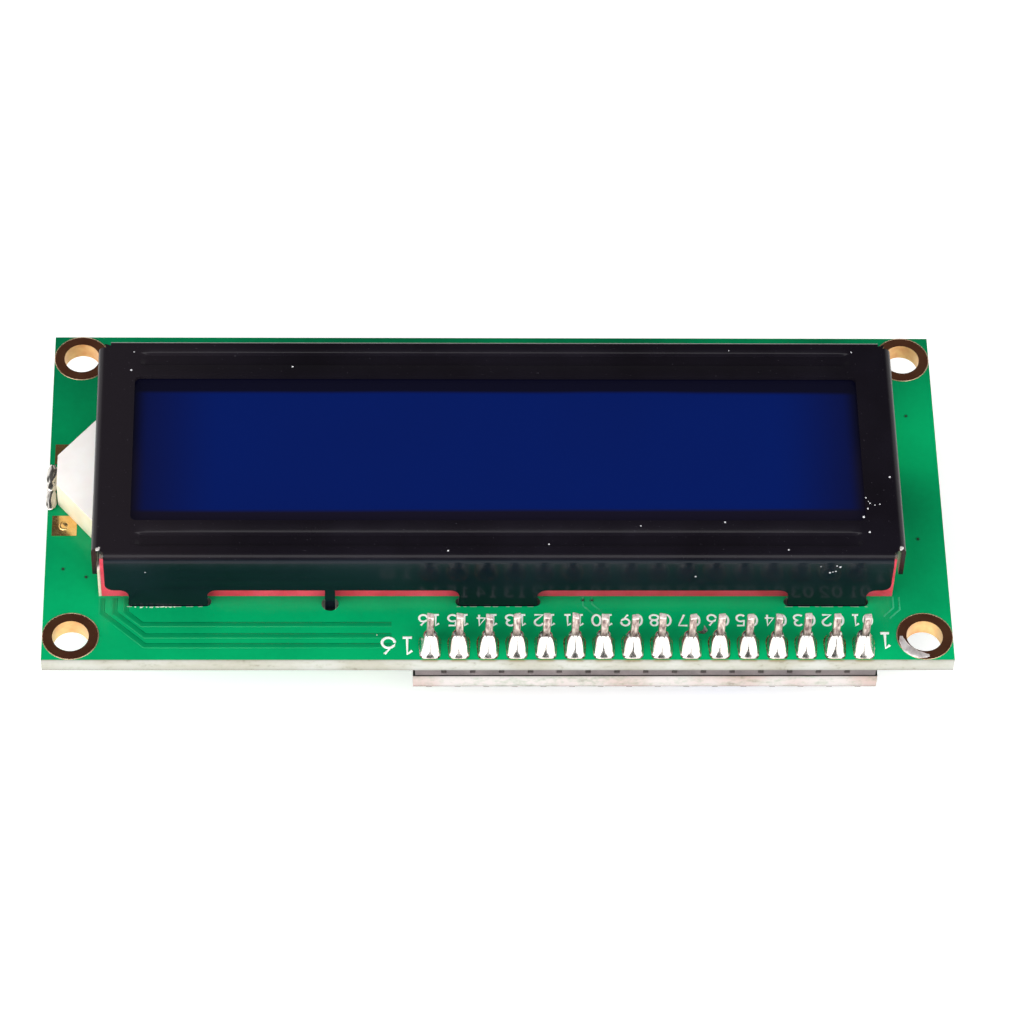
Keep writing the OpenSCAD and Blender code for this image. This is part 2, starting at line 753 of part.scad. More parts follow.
module trimmer_rotor() {
    slot = [rotor_d - 1, 0.7];
    rotor_h = rotor_seat - rotor_clear;
    color("white") translate([trimmer_pos[0], trimmer_pos[1], trimmer_z]) difference() {
        cylinder(d = rotor_d, h = rotor_h);
        for (turn = [0, 90]) rotate(turn) translate([0, 0, rotor_h / 4 - eps])
            cube([slot[0], slot[1], rotor_h / 2 + 2 * eps], center = true);
        translate([rotor_d / 2 - 0.45, 0, -eps]) cylinder(d = 0.5, h = 0.2, $fn = 3);
    }
}

module trimmer_pins() {
    color("silver") trimmer_leg_places() square_pin(pack_back, pack_top + leg_above);
}

module side_housing(count) {
    // plastic of a right-angle header: its outer face at x = 0, the board above it
    notch = 0.4;
    len = count * pitch;
    translate([0, -len / 2, side_pin_z - pitch / 2]) difference() {
        cube([pitch, len, pitch]);
        for (i = [0 : count]) translate([0, i * pitch, 0]) for (x = [0, pitch])
            translate([x, 0, -eps]) rotate(45)
                translate([-notch * 0.7, -notch * 0.7, 0]) cube([notch * 1.4, notch * 1.4, pitch + 2 * eps]);
        for (i = [0 : count - 1])
            translate([-eps, (i + 0.5) * pitch - pin_s / 2, pitch / 2 - pin_s / 2])
                cube([pitch + 2 * eps, pin_s, pin_s]);
    }
}

module side_pin() {
    // right-angle pin: the plastic's outer face at x = 0, the tip towards -X
    leg_x = pitch + side_leg;
    half = pin_s / 2;
    translate([-side_pin_len, -half, side_pin_z - half])
        cube([side_pin_len + leg_x - half - side_bend_r, pin_s, pin_s]);
    translate([leg_x - half - side_bend_r, half, side_pin_z + half + side_bend_r])
        rotate([90, 0, 0]) rotate([0, 0, -90]) rotate_extrude(angle = 90)
            translate([side_bend_r, 0]) square(pin_s);
    translate([leg_x - half, -half, side_pin_z + half + side_bend_r])
        cube([pin_s, pin_s, pack_top + leg_above - side_pin_z - half - side_bend_r]);
}

module bus_header_housing() {
    color([0.1, 0.1, 0.11]) translate([pack_left_x, side_connector_y, 0]) side_housing(bus_pins);
}

module bus_header_pins() {
    color("gold") translate([pack_left_x, 0, 0]) side_leg_places(side_connector_y, bus_pins) side_pin();
}

module jumper_header_housing() {
    color([0.1, 0.1, 0.11]) translate([pack_right_x, side_connector_y, 0]) rotate(180) side_housing(2);
}

module jumper_header_pins() {
    color("gold") translate([pack_right_x, 0, 0]) side_leg_places(side_connector_y, 2)
        rotate(180) side_pin();
}

// Socket of the jumper cap in outline, across and along the pins
module cap_socket(shrink, depth) {
    size = [depth, pitch + pin_s + 0.5 - 2 * shrink, cap_socket_h - 2 * shrink];
    translate([0, -size[1] / 2, -size[2] / 2]) cube(size);
}

module jumper_cap() {
    color([0.12, 0.12, 0.13]) translate([cap_x, side_connector_y, side_pin_z]) difference() {
        translate([0, -cap_size[1] / 2, -cap_size[2] / 2]) cube(cap_size);
        translate([-eps, 0, 0]) cap_socket(0, cap_size[0] - cap_end + eps);
        for (s = [-1, 1]) translate([cap_size[0] + eps - 1.5, s * cap_size[1] / 2, 0])
            rotate([0, 90, 0]) cylinder(d = 0.9, h = 1.5);
    }
}

// Folded spring strip: a leaf above and one below the pins, joined behind their tips
module jumper_clip() {
    clip_w = pitch + pin_s + 0.3;
    lead_in = 0.4;
    leaf = cap_size[0] - cap_end - lead_in;
    color("goldenrod") translate([cap_x + lead_in, side_connector_y, side_pin_z]) difference() {
        translate([0, -clip_w / 2, -cap_socket_h / 2]) cube([leaf, clip_w, cap_socket_h]);
        translate([-1, -clip_w, -cap_socket_h / 2 + clip_t])
            cube([leaf + 1 - clip_t, 2 * clip_w, cap_socket_h - 2 * clip_t]);
    }
}

module power_led() {
    color([0.95, 0.5, 0.4]) translate([pack_right_x - 5, pack_rear_y - 2.4, pack_back]) {
        chip_block([part_len, part_w, 0.7 * resistor_h]);
        translate([0, 0, -0.7 * resistor_h]) chip_block([0.65 * part_len, part_w, 0.9 * resistor_h]);
    }
}

module chip_resistors() {
    color([0.1, 0.1, 0.12]) for (i = [0 : 4]) chip_place(i) translate([0, 0, pack_back])
        rotate(90) chip_block(chip_part);
}

module chip_capacitors() {
    size = [part_len, part_w, capacitor_h];
    color("tan") for (p = [[chip_x - 5, 4], [trimmer_x - 5.4, 3.6]])
        translate([pack_left_x + p[0], pack_front_y + p[1], pack_back]) chip_block(size);
}

module transistor_body() {
    color([0.1, 0.1, 0.11]) translate([transistor_pos[0], transistor_pos[1], pack_back - chip_standoff])
        chip_block([2.9, 1.3, 1]);
}

module transistor_leads() {
    lead = [0.4, 0.55, 0.5];
    color("silver") for (p = [[-0.95, -1], [0.95, -1], [0, 1]])
        translate([transistor_pos[0] + p[0], transistor_pos[1] + p[1] * (0.65 + lead[1] / 2), pack_back])
            chip_block(lead);
}

module address_pads() {
    color("silver") for (i = [0 : 2], s = [-1, 1])
        translate([trimmer_pos[0] - 3 + 2 * i, pack_rear_y - 2.4 + s * 0.8, part_z])
            translate([-0.6, -0.55, 0]) cube([1.2, 1.1, plating_t]);
}

lcd_board();
mounting_hole_plating();
bezel();
front_connector_strip();
rear_connector_strip();
backlight_frame();
light_guide();
diffuser_film();
backlight_lamp();
backlight_pads();
backlight_solder();
rear_polarizer();
rear_glass();
front_glass();
front_polarizer();
header_housing();
header_pins();
lcd_header_pads();
lcd_solder_joints();
controller_blob();
driver_blob();
lcd_chip_resistors();
backpack_board();
backpack_header_pads();
backpack_solder_joints();
expander_chip();
expander_leads();
trimmer_body();
trimmer_rotor();
trimmer_pins();
bus_header_housing();
bus_header_pins();
jumper_header_housing();
jumper_header_pins();
jumper_cap();
jumper_clip();
power_led();
chip_resistors();
chip_capacitors();
transistor_body();
transistor_leads();
address_pads();
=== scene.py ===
# Looks of the character display module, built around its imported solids.
import math
import random

import bmesh
import bpy
from mathutils import Matrix, Vector
from mathutils.noise import noise as noise_at


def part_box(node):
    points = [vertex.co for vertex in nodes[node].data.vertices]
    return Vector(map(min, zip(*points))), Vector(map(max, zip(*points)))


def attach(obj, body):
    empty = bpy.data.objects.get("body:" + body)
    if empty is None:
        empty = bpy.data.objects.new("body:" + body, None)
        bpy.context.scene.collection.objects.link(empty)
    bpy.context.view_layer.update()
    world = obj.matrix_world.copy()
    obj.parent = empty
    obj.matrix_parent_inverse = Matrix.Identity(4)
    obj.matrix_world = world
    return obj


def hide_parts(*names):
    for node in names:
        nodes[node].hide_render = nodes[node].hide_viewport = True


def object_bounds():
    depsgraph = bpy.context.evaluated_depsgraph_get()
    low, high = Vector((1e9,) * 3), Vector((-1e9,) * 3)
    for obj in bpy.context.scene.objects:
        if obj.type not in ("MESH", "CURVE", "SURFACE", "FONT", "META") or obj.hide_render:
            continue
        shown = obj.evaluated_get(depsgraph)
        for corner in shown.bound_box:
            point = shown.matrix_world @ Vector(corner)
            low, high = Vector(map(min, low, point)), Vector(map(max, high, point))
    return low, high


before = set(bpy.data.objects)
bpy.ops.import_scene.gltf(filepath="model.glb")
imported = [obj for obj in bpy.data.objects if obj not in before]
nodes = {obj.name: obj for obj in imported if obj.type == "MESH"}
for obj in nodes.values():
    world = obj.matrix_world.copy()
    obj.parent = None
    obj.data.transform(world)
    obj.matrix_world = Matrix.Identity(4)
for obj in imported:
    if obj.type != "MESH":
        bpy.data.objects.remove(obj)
cad_box = [list(corner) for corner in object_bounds()]
MM = 0.001  # meshes are made in millimetres and brought to metres when they are finished


# ---------------------------------------------------------------- sizes from the frame

def box_mm(node):
    """Lowest and highest corner of a CAD node, in millimetres."""
    low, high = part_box(node)
    return low / MM, high / MM


board_low, board_high = box_mm("lcd_board")
bezel_low, bezel_high = box_mm("bezel")
pins_low, pins_high = box_mm("header_pins")
plastic_low, plastic_high = box_mm("header_housing")
pack_low, pack_high = box_mm("backpack_board")
lamp_solder_low, lamp_solder_high = box_mm("backlight_solder")
trimmer_low, trimmer_high = box_mm("trimmer_body")
chip_low, chip_high = box_mm("expander_chip")
bus_low, bus_high = box_mm("bus_header_housing")
resistor_low, resistor_high = box_mm("lcd_chip_resistors")
address_low, address_high = box_mm("address_pads")

PINS = 16
PITCH = (pins_high.x - pins_low.x - (pins_high.y - pins_low.y)) / (PINS - 1)
PIN = pins_high.y - pins_low.y
ROW_Y = (pins_low.y + pins_high.y) / 2
PIN_X = [pins_low.x + PIN / 2 + i * PITCH for i in range(PINS)]
BOARD_TOP = board_high.z
BOARD_BACK = board_low.z
BOARD_T = BOARD_TOP - BOARD_BACK
FRONT_EDGE = board_low.y
HOLE_INSET = 2.5     # mounting holes, from the board's edges
HOLE_X = board_high.x - HOLE_INSET
HOLE_Y = board_high.y - HOLE_INSET
PAD_T = 0.05         # plated copper on a pad or a ring
INK_T = 0.02         # printing on the front
BACK_INK_T = 0.015   # printing on the backs
NEAR = 1e-3          # how near a vertex lies to the place it belongs to

SHEET = 0.4          # bezel sheet
FOLD_R = 0.7         # outer radius of its folds
WINDOW = (64.5, 16.0)
WINDOW_R = 0.5
WALL_GAP = 2.3       # lower edge of the long walls above the board
SKIRT_GAP = 3.1      # lower edge of the end skirts above the board
RELIEF = (1.1, 1.2)  # open front corners, along the wall and along the skirt
REAR_RELIEF = 0.9
CORNER_R = 0.38
REAR_CORNER_R = 0.22
REAR_DRAW = (0.24, 0.26, -0.07)  # how far the rear corners are drawn out and down
WALL_CORNER_R = 0.8
CHANNEL = (64.4, 1.5, 0.3)       # length, width and depth of a pressed channel
CHANNEL_END = 1.4    # slope at each end of a channel
CHANNEL_SHIFT = 0.1  # how far a channel lies inside the middle of its border
TAB = (6.9, 2.4, 0.8)            # width, foot and root radius
TAB_X = (-29.0, 0.0, 29.0)
TAB_SHOULDER = 0.2   # straight part between a tab's fold and the board
LOCATOR = (-14.8, 0.9)           # place and width of the locating tabs
BEZEL_EASE = 0.05    # rounding of the sheet's sheared edges


# ---------------------------------------------------------------- mesh helpers

def new_piece(name, bm, finish, body="module", smooth=40.0, stands_for=()):
    """Turns a new shape's faces outwards and places it as a piece."""
    bmesh.ops.recalc_face_normals(bm, faces=bm.faces)
    return place_piece(name, bm, finish, body, smooth, stands_for)


def place_piece(name, bm, finish, body="module", smooth=40.0, stands_for=()):
    """Makes a bmesh in millimetres an object in metres, with its finish, that rides on a body."""
    limit = math.radians(smooth)
    for face in bm.faces:
        face.smooth = True
    for edge in bm.edges:
        edge.smooth = len(edge.link_faces) == 2 and edge.calc_face_angle(0.0) < limit
    bmesh.ops.scale(bm, vec=(MM, MM, MM), verts=bm.verts)
    mesh = bpy.data.meshes.new(name)
    bm.to_mesh(mesh)
    bm.free()
    piece = bpy.data.objects.new(name, mesh)
    bpy.context.scene.collection.objects.link(piece)
    mesh.materials.append(finish)
    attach(piece, body)
    if stands_for:
        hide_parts(*stands_for)
    return piece


def move(bm, verts, x=0.0, y=0.0, z=0.0):
    """Shifts vertices, in millimetres."""
    bmesh.ops.translate(bm, vec=(x, y, z), verts=verts)


def add_box(bm, low, high):
    """Adds a box between two corners and returns its vertices."""
    made = bmesh.ops.create_cube(bm, size=1.0)["verts"]
    size = [h - l for l, h in zip(low, high)]
    bmesh.ops.scale(bm, vec=size, verts=made)
    move(bm, made, *[(l + h) / 2 for l, h in zip(low, high)])
    return made


def edges_of(verts):
    """Every edge at some vertices, each once and always in the same order."""
    return list(dict.fromkeys(e for v in verts for e in v.link_edges))


def bevel_edges(bm, edges, width, segments=2):
    """Rounds edges by a width in millimetres."""
    bmesh.ops.bevel(bm, geom=edges, offset=width, segments=segments, profile=0.5,
                    affect="EDGES", material=-1, clamp_overlap=True)


def softened(node, finish, width, body, segments=2, angle=30.0, smooth=40.0):
    """A CAD node's own shape with its sharp edges eased, standing for the node."""
    bm = bmesh.new()
    bm.from_mesh(nodes[node].data)
    bmesh.ops.scale(bm, vec=(1 / MM,) * 3, verts=bm.verts)
    bmesh.ops.remove_doubles(bm, verts=bm.verts, dist=0.0005)
    bmesh.ops.dissolve_limit(bm, angle_limit=math.radians(1.0), verts=bm.verts, edges=bm.edges)
    sharp = [e for e in bm.edges if len(e.link_faces) == 2
             and e.calc_face_angle(0.0) > math.radians(angle)]
    bevel_edges(bm, sharp, width, segments)
    return place_piece("eased_" + node, bm, finish, body, smooth, (node,))


def finish_node(node, finish):
    """Keeps a CAD node and gives it a finish."""
    materials = nodes[node].data.materials
    materials.clear()
    materials.append(finish)


# ---------------------------------------------------------------- material helpers

def new_material(name):
    """A new finish: its material, node tree, shader and Object coordinates in millimetres."""
    mat = bpy.data.materials.new(name)
    mat.use_nodes = True
    tree = mat.node_tree
    coords = tree.nodes.new("ShaderNodeTexCoord")
    mapping = tree.nodes.new("ShaderNodeMapping")
    mapping.inputs["Scale"].default_value = (1 / MM,) * 3
    tree.links.new(coords.outputs["Object"], mapping.inputs["Vector"])
    return mat, tree, tree.nodes["Principled BSDF"], mapping.outputs["Vector"]


def node(tree, kind, **values):
    """Adds a node; in_ values go to its sockets, the others to its settings."""
    made = tree.nodes.new(kind)
    for key, value in values.items():
        if key.startswith("in_"):
            made.inputs[key[3:].replace("_", " ")].default_value = value
        else:
            setattr(made, key, value)
    return made


def link(tree, source, target):
    """Joins an output to an input."""
    tree.links.new(source, target)


def linear(r, g, b):
    """Display colour, 0 to 255, as a linear colour."""
    shares = [v / 255 for v in (r, g, b)]
    return (*[v / 12.92 if v <= 0.04045 else ((v + 0.055) / 1.055) ** 2.4 for v in shares], 1.0)


def noise(tree, vector, scale, detail=3.0, roughness=0.55):
    """Soft random pattern, 0 to 1."""
    made = node(tree, "ShaderNodeTexNoise", in_Scale=scale, in_Detail=detail,
                in_Roughness=roughness)
    link(tree, vector, made.inputs["Vector"])
    return made.outputs["Fac"]


def ramp(tree, value, stops):
    """Colour ramp; stops are (position, colour)."""
    made = tree.nodes.new("ShaderNodeValToRGB")
    elements = made.color_ramp.elements
    while len(elements) < len(stops):
        elements.new(0.5)
    for element, (position, colour) in zip(elements, stops):
        element.position = position
        element.color = colour
    link(tree, value, made.inputs["Fac"])
    return made.outputs["Color"]


def spread(low, high, colours):
    """Ramp stops for display colours, evenly apart from one position to another."""
    step = (high - low) / (len(colours) - 1)
    return [(low + step * i, linear(*colour)) for i, colour in enumerate(colours)]


def grey(v):
    """A linear grey."""
    return (v, v, v, 1.0)


def fill_sockets(tree, pairs):
    """Sets each socket to a value, or links it where the value comes from a node."""
    for socket, value in pairs:
        if isinstance(value, (int, float, tuple)):
            socket.default_value = value
        else:
            link(tree, value, socket)


def math_node(tree, operation, *values):
    """One sum on values or other nodes' results."""
    made = node(tree, "ShaderNodeMath", operation=operation)
    fill_sockets(tree, zip(made.inputs, values))
    return made.outputs["Value"]


def plus(tree, *values):
    """Sum of two or more values."""
    total = values[0]
    for value in values[1:]:
        total = math_node(tree, "ADD", total, value)
    return total


def times(tree, *values):
    """Product of two or more values."""
    total = values[0]
    for value in values[1:]:
        total = math_node(tree, "MULTIPLY", total, value)
    return total


def mix_colour(tree, factor, a, b, blend="MIX"):
    """Mixes two colours or patterns by a factor."""
    made = node(tree, "ShaderNodeMix", data_type="RGBA", blend_type=blend)
    fill_sockets(tree, zip((made.inputs[0], made.inputs[6], made.inputs[7]), (factor, a, b)))
    return made.outputs[2]


def map_range(tree, value, low, high, to_low=0.0, to_high=1.0, smooth=True):
    """Carries a value from one range to another, with soft or straight ends."""
    made = node(tree, "ShaderNodeMapRange", clamp=True, in_From_Min=low, in_From_Max=high,
                in_To_Min=to_low, in_To_Max=to_high,
                interpolation_type="SMOOTHSTEP" if smooth else "LINEAR")
    link(tree, value, made.inputs["Value"])
    return made.outputs["Result"]


def stretched(tree, coords, scale):
    """Coordinates scaled along each axis, so that a pattern runs along one of them."""
    mapping = node(tree, "ShaderNodeMapping", in_Scale=scale)
    link(tree, coords, mapping.inputs["Vector"])
    return mapping.outputs["Vector"]


def patch_round(tree, coords, place, radius):
    """1 at a place, falling smoothly to 0 at a radius, in millimetres."""
    reach = node(tree, "ShaderNodeVectorMath", operation="DISTANCE")
    link(tree, coords, reach.inputs[0])
    reach.inputs[1].default_value = place
    return map_range(tree, reach.outputs["Value"], radius, 0.0)


def bump(tree, shader, height, strength, distance_mm):
    """Gives a shader the relief of a pattern."""
    made = node(tree, "ShaderNodeBump", in_Strength=strength, in_Distance=distance_mm * MM)
    link(tree, height, made.inputs["Height"])
    link(tree, made.outputs["Normal"], shader.inputs["Normal"])


def axes_of(tree, vector):
    """The three parts of a vector."""
    made = tree.nodes.new("ShaderNodeSeparateXYZ")
    link(tree, vector, made.inputs["Vector"])
    return made.outputs["X"], made.outputs["Y"], made.outputs["Z"]


def facing(tree):
    """1 where a face looks up or down, 0 on a cut edge or a hole's wall."""
    geometry = tree.nodes.new("ShaderNodeNewGeometry")
    z = axes_of(tree, geometry.outputs["True Normal"])[2]
    return map_range(tree, math_node(tree, "ABSOLUTE", z), 0.5, 0.7)


def set_shader(shader, **values):
    """Sets a shader's sockets by name."""
    for key, value in values.items():
        shader.inputs[key.replace("_", " ")].default_value = value


# ---------------------------------------------------------------- finishes

def laminate_edge(tree, coords, top, pale, tint):
    """Sawn glass-cloth laminate: pale, with fibres, darker next to both faces, partly painted shade
    and partly lacquer run over the edge, and olive-brown below each pin.

    Returns its colour and the specks that give it relief.
    """
    fibres = noise(tree, stretched(tree, coords, (0.6, 0.6, 1.6)), 1.1, 2.0, 0.5)
    specks = noise(tree, coords, 2.6, 3.0, 0.6)
    patches = noise(tree, coords, 0.11, 2.0, 0.5)
    x, y, z = axes_of(tree, coords)
    cloth = ramp(tree, mix_colour(tree, 0.45, fibres, specks),
                 [(0.3, linear(158, 156, 146)), (0.42, linear(184, 186, 176)), (0.55, pale)])
    tinted = mix_colour(tree, map_range(tree, patches, 0.42, 0.62), cloth, tint, "MULTIPLY")
    depth = map_range(tree, z, top, top - BOARD_T, smooth=False)
    # Painted shade next to both faces; on the black board it stands partly for lacquer run over the
    # edge
    rim = ramp(tree, depth, [(0.0, grey(0.52)), (0.16, grey(0.9)), (0.4, grey(1.0)),
                             (0.8, grey(0.97)), (0.9, grey(0.8)), (1.0, grey(0.6))])
    edge = mix_colour(tree, 1.0, tinted, rim, "MULTIPLY")
    # The half pitch puts each pin in the middle of its span; whole ones keep the sum positive
    step = math_node(tree, "MODULO", plus(tree, x, PITCH * 20.5 - PIN_X[0]), PITCH)
    off_pin = math_node(tree, "ABSOLUTE", plus(tree, step, -PITCH / 2))
    first, last = PIN_X[0] - 1.0, PIN_X[-1] + 1.0
    # Olive-brown below each pin, at the top of the front edge
    olive_below_pins = times(tree, 0.7, map_range(tree, off_pin, 1.0, 0.5),
                  map_range(tree, z, -0.5, -0.1),
                  map_range(tree, y, FRONT_EDGE + 0.3, FRONT_EDGE),
                  map_range(tree, x, first, first + 0.1),
                  map_range(tree, x, last, last - 0.1))
    return mix_colour(tree, olive_below_pins, edge, linear(128, 112, 66)), specks


# Rounds of painted light and shade on the lacquer, as centre, radius and amount: a painted
# reflection at the rear right corner and painted shade beside the bezel's right end
LACQUER_PAINTED_LIGHT = (((38.5, 8.0, 0.0), 9.0, 0.36), ((36.5, -3.0, 0.0), 7.0, -0.27),
                 ((37.0, -10.5, 0.0), 5.5, -0.14))


def solder_mask(name, dark, light, gloss=0.22, weave=0.18, top=0.0, pale=(190, 191, 184),
                tint=(238, 234, 226)):
    """Lacquered board: tinted lacquer on faint glass weave, bare laminate on the cut edges, and
    painted light and shade in the lacquer's tone.
    """
    mat, tree, shader, coords = new_material(name)
    x, y, _ = axes_of(tree, coords)
    cloud = noise(tree, coords, 0.09, 2.0, 0.5)
    grain = noise(tree, coords, 1.6, 4.0, 0.6)
    # Painted light: the x and y terms make the lacquer lighter towards the front and a little
    # lighter to the right
    tone = plus(tree, times(tree, cloud, 0.5), times(tree, grain, 0.12),
                times(tree, x, 0.001), times(tree, y, -0.012), 0.18)
    for place, radius, amount in LACQUER_PAINTED_LIGHT:
        tone = plus(tree, tone, times(tree, amount, patch_round(tree, coords, place, radius)))
    face_colour = ramp(tree, tone, [(0.1, linear(*dark)), (0.85, linear(*light))])
    edge_colour, edge_grain = laminate_edge(tree, coords, top, linear(*pale), linear(*tint))
    flat = facing(tree)
    link(tree, mix_colour(tree, flat, edge_colour, face_colour), shader.inputs["Base Color"])
    rough = map_range(tree, flat, 0.0, 1.0, 0.75, gloss, smooth=False)
    link(tree, rough, shader.inputs["Roughness"])
    wave = node(tree, "ShaderNodeTexWave", in_Scale=1.1, in_Distortion=1.2, in_Detail=1.0)
    wave.bands_direction = "X"
    link(tree, coords, wave.inputs["Vector"])
    height = mix_colour(tree, flat, edge_grain, mix_colour(tree, 0.7, wave.outputs["Fac"], grain))
    bump(tree, shader, height, weave, 0.03)
    set_shader(shader, Specular_IOR_Level=0.22)
    return mat


def metal(name, colours, roughness, bump_strength=0.12, metallic=1.0):
    """Plated or tinned metal with uneven tone and gloss."""
    mat, tree, shader, coords = new_material(name)
    patches = noise(tree, coords, 0.8, 4.0, 0.6)
    fine = noise(tree, coords, 5.0, 3.0, 0.6)
    link(tree, ramp(tree, patches, spread(0.3, 0.7, colours)), shader.inputs["Base Color"])
    link(tree, map_range(tree, fine, 0.3, 0.7, *roughness), shader.inputs["Roughness"])
    bump(tree, shader, mix_colour(tree, 0.5, patches, fine), bump_strength, 0.02)
    set_shader(shader, Metallic=metallic)
    return mat


def moulded(name, colours, roughness, bump_strength=0.15, coat=0.0, subsurface=0.0):
    """Moulded plastic, resin or rubber: soft mottling, fine skin texture."""
    mat, tree, shader, coords = new_material(name)
    mottle = noise(tree, coords, 0.5, 3.0, 0.55)
    skin = noise(tree, coords, 7.0, 4.0, 0.65)
    tone = mix_colour(tree, 0.3, mottle, skin)
    link(tree, ramp(tree, tone, spread(0.35, 0.65, colours)), shader.inputs["Base Color"])
    link(tree, map_range(tree, mottle, 0.3, 0.7, *roughness), shader.inputs["Roughness"])
    bump(tree, shader, skin, bump_strength, 0.015)
    set_shader(shader, Coat_Weight=coat, Coat_Roughness=0.1)
    if subsurface:
        set_shader(shader, Subsurface_Weight=subsurface, Subsurface_Scale=0.8 * MM)
    return mat


def bezel_paint():
    """Stoved black paint: smooth, a little orange peel, fine dust, and a painted bluish reflection
    of the board on the upright walls.
    """
    mat, tree, shader, coords = new_material("stoved_black_paint")
    patches = noise(tree, coords, 0.12, 3.0, 0.6)
    peel = noise(tree, coords, 2.6, 2.0, 0.5)
    dust = noise(tree, coords, 6.5, 1.0, 0.4)
    face = ramp(tree, patches, spread(0.3, 0.7, [(15, 12, 18), (22, 19, 27)]))
    # Painted reflection: the upright walls take a bluer colour, the board seen in them
    wall = ramp(tree, patches, spread(0.3, 0.7, [(8, 17, 24), (14, 24, 32)]))
    x, y, _ = axes_of(tree, coords)
    # The face grows lighter towards its left end
    face = mix_colour(tree, map_range(tree, x, -18.0, -36.0), face, linear(30, 26, 31))
    wall_y = bezel_high.y
    outer = times(tree, math_node(tree, "SUBTRACT", 1.0, facing(tree)),
                  map_range(tree, math_node(tree, "ABSOLUTE", y), wall_y - 0.6, wall_y - 0.3))
    base = mix_colour(tree, outer, face, wall)
    speck = map_range(tree, dust, 0.775, 0.80)
    link(tree, mix_colour(tree, times(tree, speck, 0.35), base, linear(95, 92, 100)),
         shader.inputs["Base Color"])
    link(tree, map_range(tree, patches, 0.3, 0.7, 0.14, 0.22), shader.inputs["Roughness"])
    bump(tree, shader, peel, 0.05, 0.02)
    set_shader(shader, Specular_IOR_Level=0.22)
    return mat


def display_film():
    """Blue viewing area inside a black surround, under a glossy film."""
    mat, tree, shader, coords = new_material("display_film")
    x, y, _ = axes_of(tree, coords)
    waver = times(tree, plus(tree, noise(tree, coords, 0.05, 2.0, 0.5), -0.5), 0.5)
    reach_y = plus(tree, math_node(tree, "ABSOLUTE", y), waver)
    reach_x = math_node(tree, "ABSOLUTE", x)
    lit = times(tree, map_range(tree, reach_y, 6.8, 6.3), map_range(tree, reach_x, 32.5, 30.9))
    ends = map_range(tree, reach_x, 33.0, 24.0)
    cloud = noise(tree, coords, 0.06, 2.0, 0.5)
    tone = plus(tree, times(tree, ends, 0.75), times(tree, cloud, 0.25))
    blue = ramp(tree, tone, [(0.1, linear(9, 16, 59)), (0.55, linear(5, 20, 78)),
                             (0.95, linear(2, 24, 92))])
    # Painted shade: the surround is darker at the rear, the window's far side
    surround = mix_colour(tree, map_range(tree, y, 2.0, -2.0), linear(10, 10, 29),
                          linear(20, 17, 33))
    link(tree, mix_colour(tree, lit, surround, blue), shader.inputs["Base Color"])
    smear = noise(tree, coords, 0.3, 4.0, 0.6)
    link(tree, map_range(tree, smear, 0.35, 0.7, 0.055, 0.075), shader.inputs["Roughness"])
    set_shader(shader, Specular_IOR_Level=0.25)
    return mat


def plated_hole():
    """Gold over copper: a mirror-smooth ring and a brighter, rougher barrel."""
    mat, tree, shader, coords = new_material("plated_hole")
    patches = noise(tree, coords, 0.5, 3.0, 0.6)
    flat = facing(tree)
    ring = ramp(tree, patches, spread(0.3, 0.7, [(205, 128, 98), (232, 158, 116)]))
    barrel = ramp(tree, patches, spread(0.3, 0.7, [(216, 152, 96), (244, 204, 138)]))
    link(tree, mix_colour(tree, flat, barrel, ring), shader.inputs["Base Color"])
    link(tree, map_range(tree, flat, 0.0, 1.0, 0.34, 0.1, smooth=False),
         shader.inputs["Roughness"])
    bump(tree, shader, patches, 0.03, 0.02)
    set_shader(shader, Metallic=1.0)
    return mat


def lamp_housing():
    """White moulding whose upright sides are darker and warmer than its top: painted shade and a
    painted warm reflection.
    """
    mat, tree, shader, coords = new_material("lamp_housing")
    mottle = noise(tree, coords, 0.5, 3.0, 0.55)
    top = ramp(tree, mottle, spread(0.35, 0.65, [(250, 244, 240), (254, 250, 247)]))
    # Painted shade and a painted warm reflection: the upright sides are darker and yellower than
    # the top
    side = ramp(tree, mottle, spread(0.35, 0.65, [(216, 207, 180), (226, 218, 194)]))
    link(tree, mix_colour(tree, facing(tree), side, top), shader.inputs["Base Color"])
    link(tree, map_range(tree, mottle, 0.3, 0.7, 0.35, 0.5), shader.inputs["Roughness"])
    bump(tree, shader, mottle, 0.05, 0.015)
    set_shader(shader, Subsurface_Weight=0.1, Subsurface_Scale=0.8 * MM)
    return mat


def nipped_pin():
    """Plated pin: streaked grey sides with painted shade near the solder, and a bright, ragged cut
    end.
    """
    mat, tree, shader, coords = new_material("nipped_pin")
    streaks = noise(tree, stretched(tree, coords, (1.0, 1.0, 0.3)), 3.2, 4.0, 0.65)
    ragged = noise(tree, coords, 4.0, 3.0, 0.6)
    z = axes_of(tree, coords)[2]
    end = times(tree, facing(tree), map_range(tree, z, 3.0, 3.4))
    side = ramp(tree, streaks, [(0.36, linear(112, 94, 90)), (0.5, linear(184, 164, 156)),
                                (0.62, linear(232, 218, 208))])
    # Painted shade on the pin's sides, darkest near the solder
    neck_shade = map_range(tree, z, 1.5, 2.7, 0.42, 1.0)
    side = mix_colour(tree, 1.0, side, neck_shade, "MULTIPLY")
    cut = ramp(tree, ragged, spread(0.35, 0.6, [(214, 190, 184), (250, 236, 232)]))
    link(tree, mix_colour(tree, end, side, cut), shader.inputs["Base Color"])
    link(tree, map_range(tree, streaks, 0.3, 0.7, 0.24, 0.42), shader.inputs["Roughness"])
    bump(tree, shader, streaks, 0.35, 0.03)
    link(tree, map_range(tree, end, 0.0, 1.0, 0.95, 0.35), shader.inputs["Metallic"])
    return mat


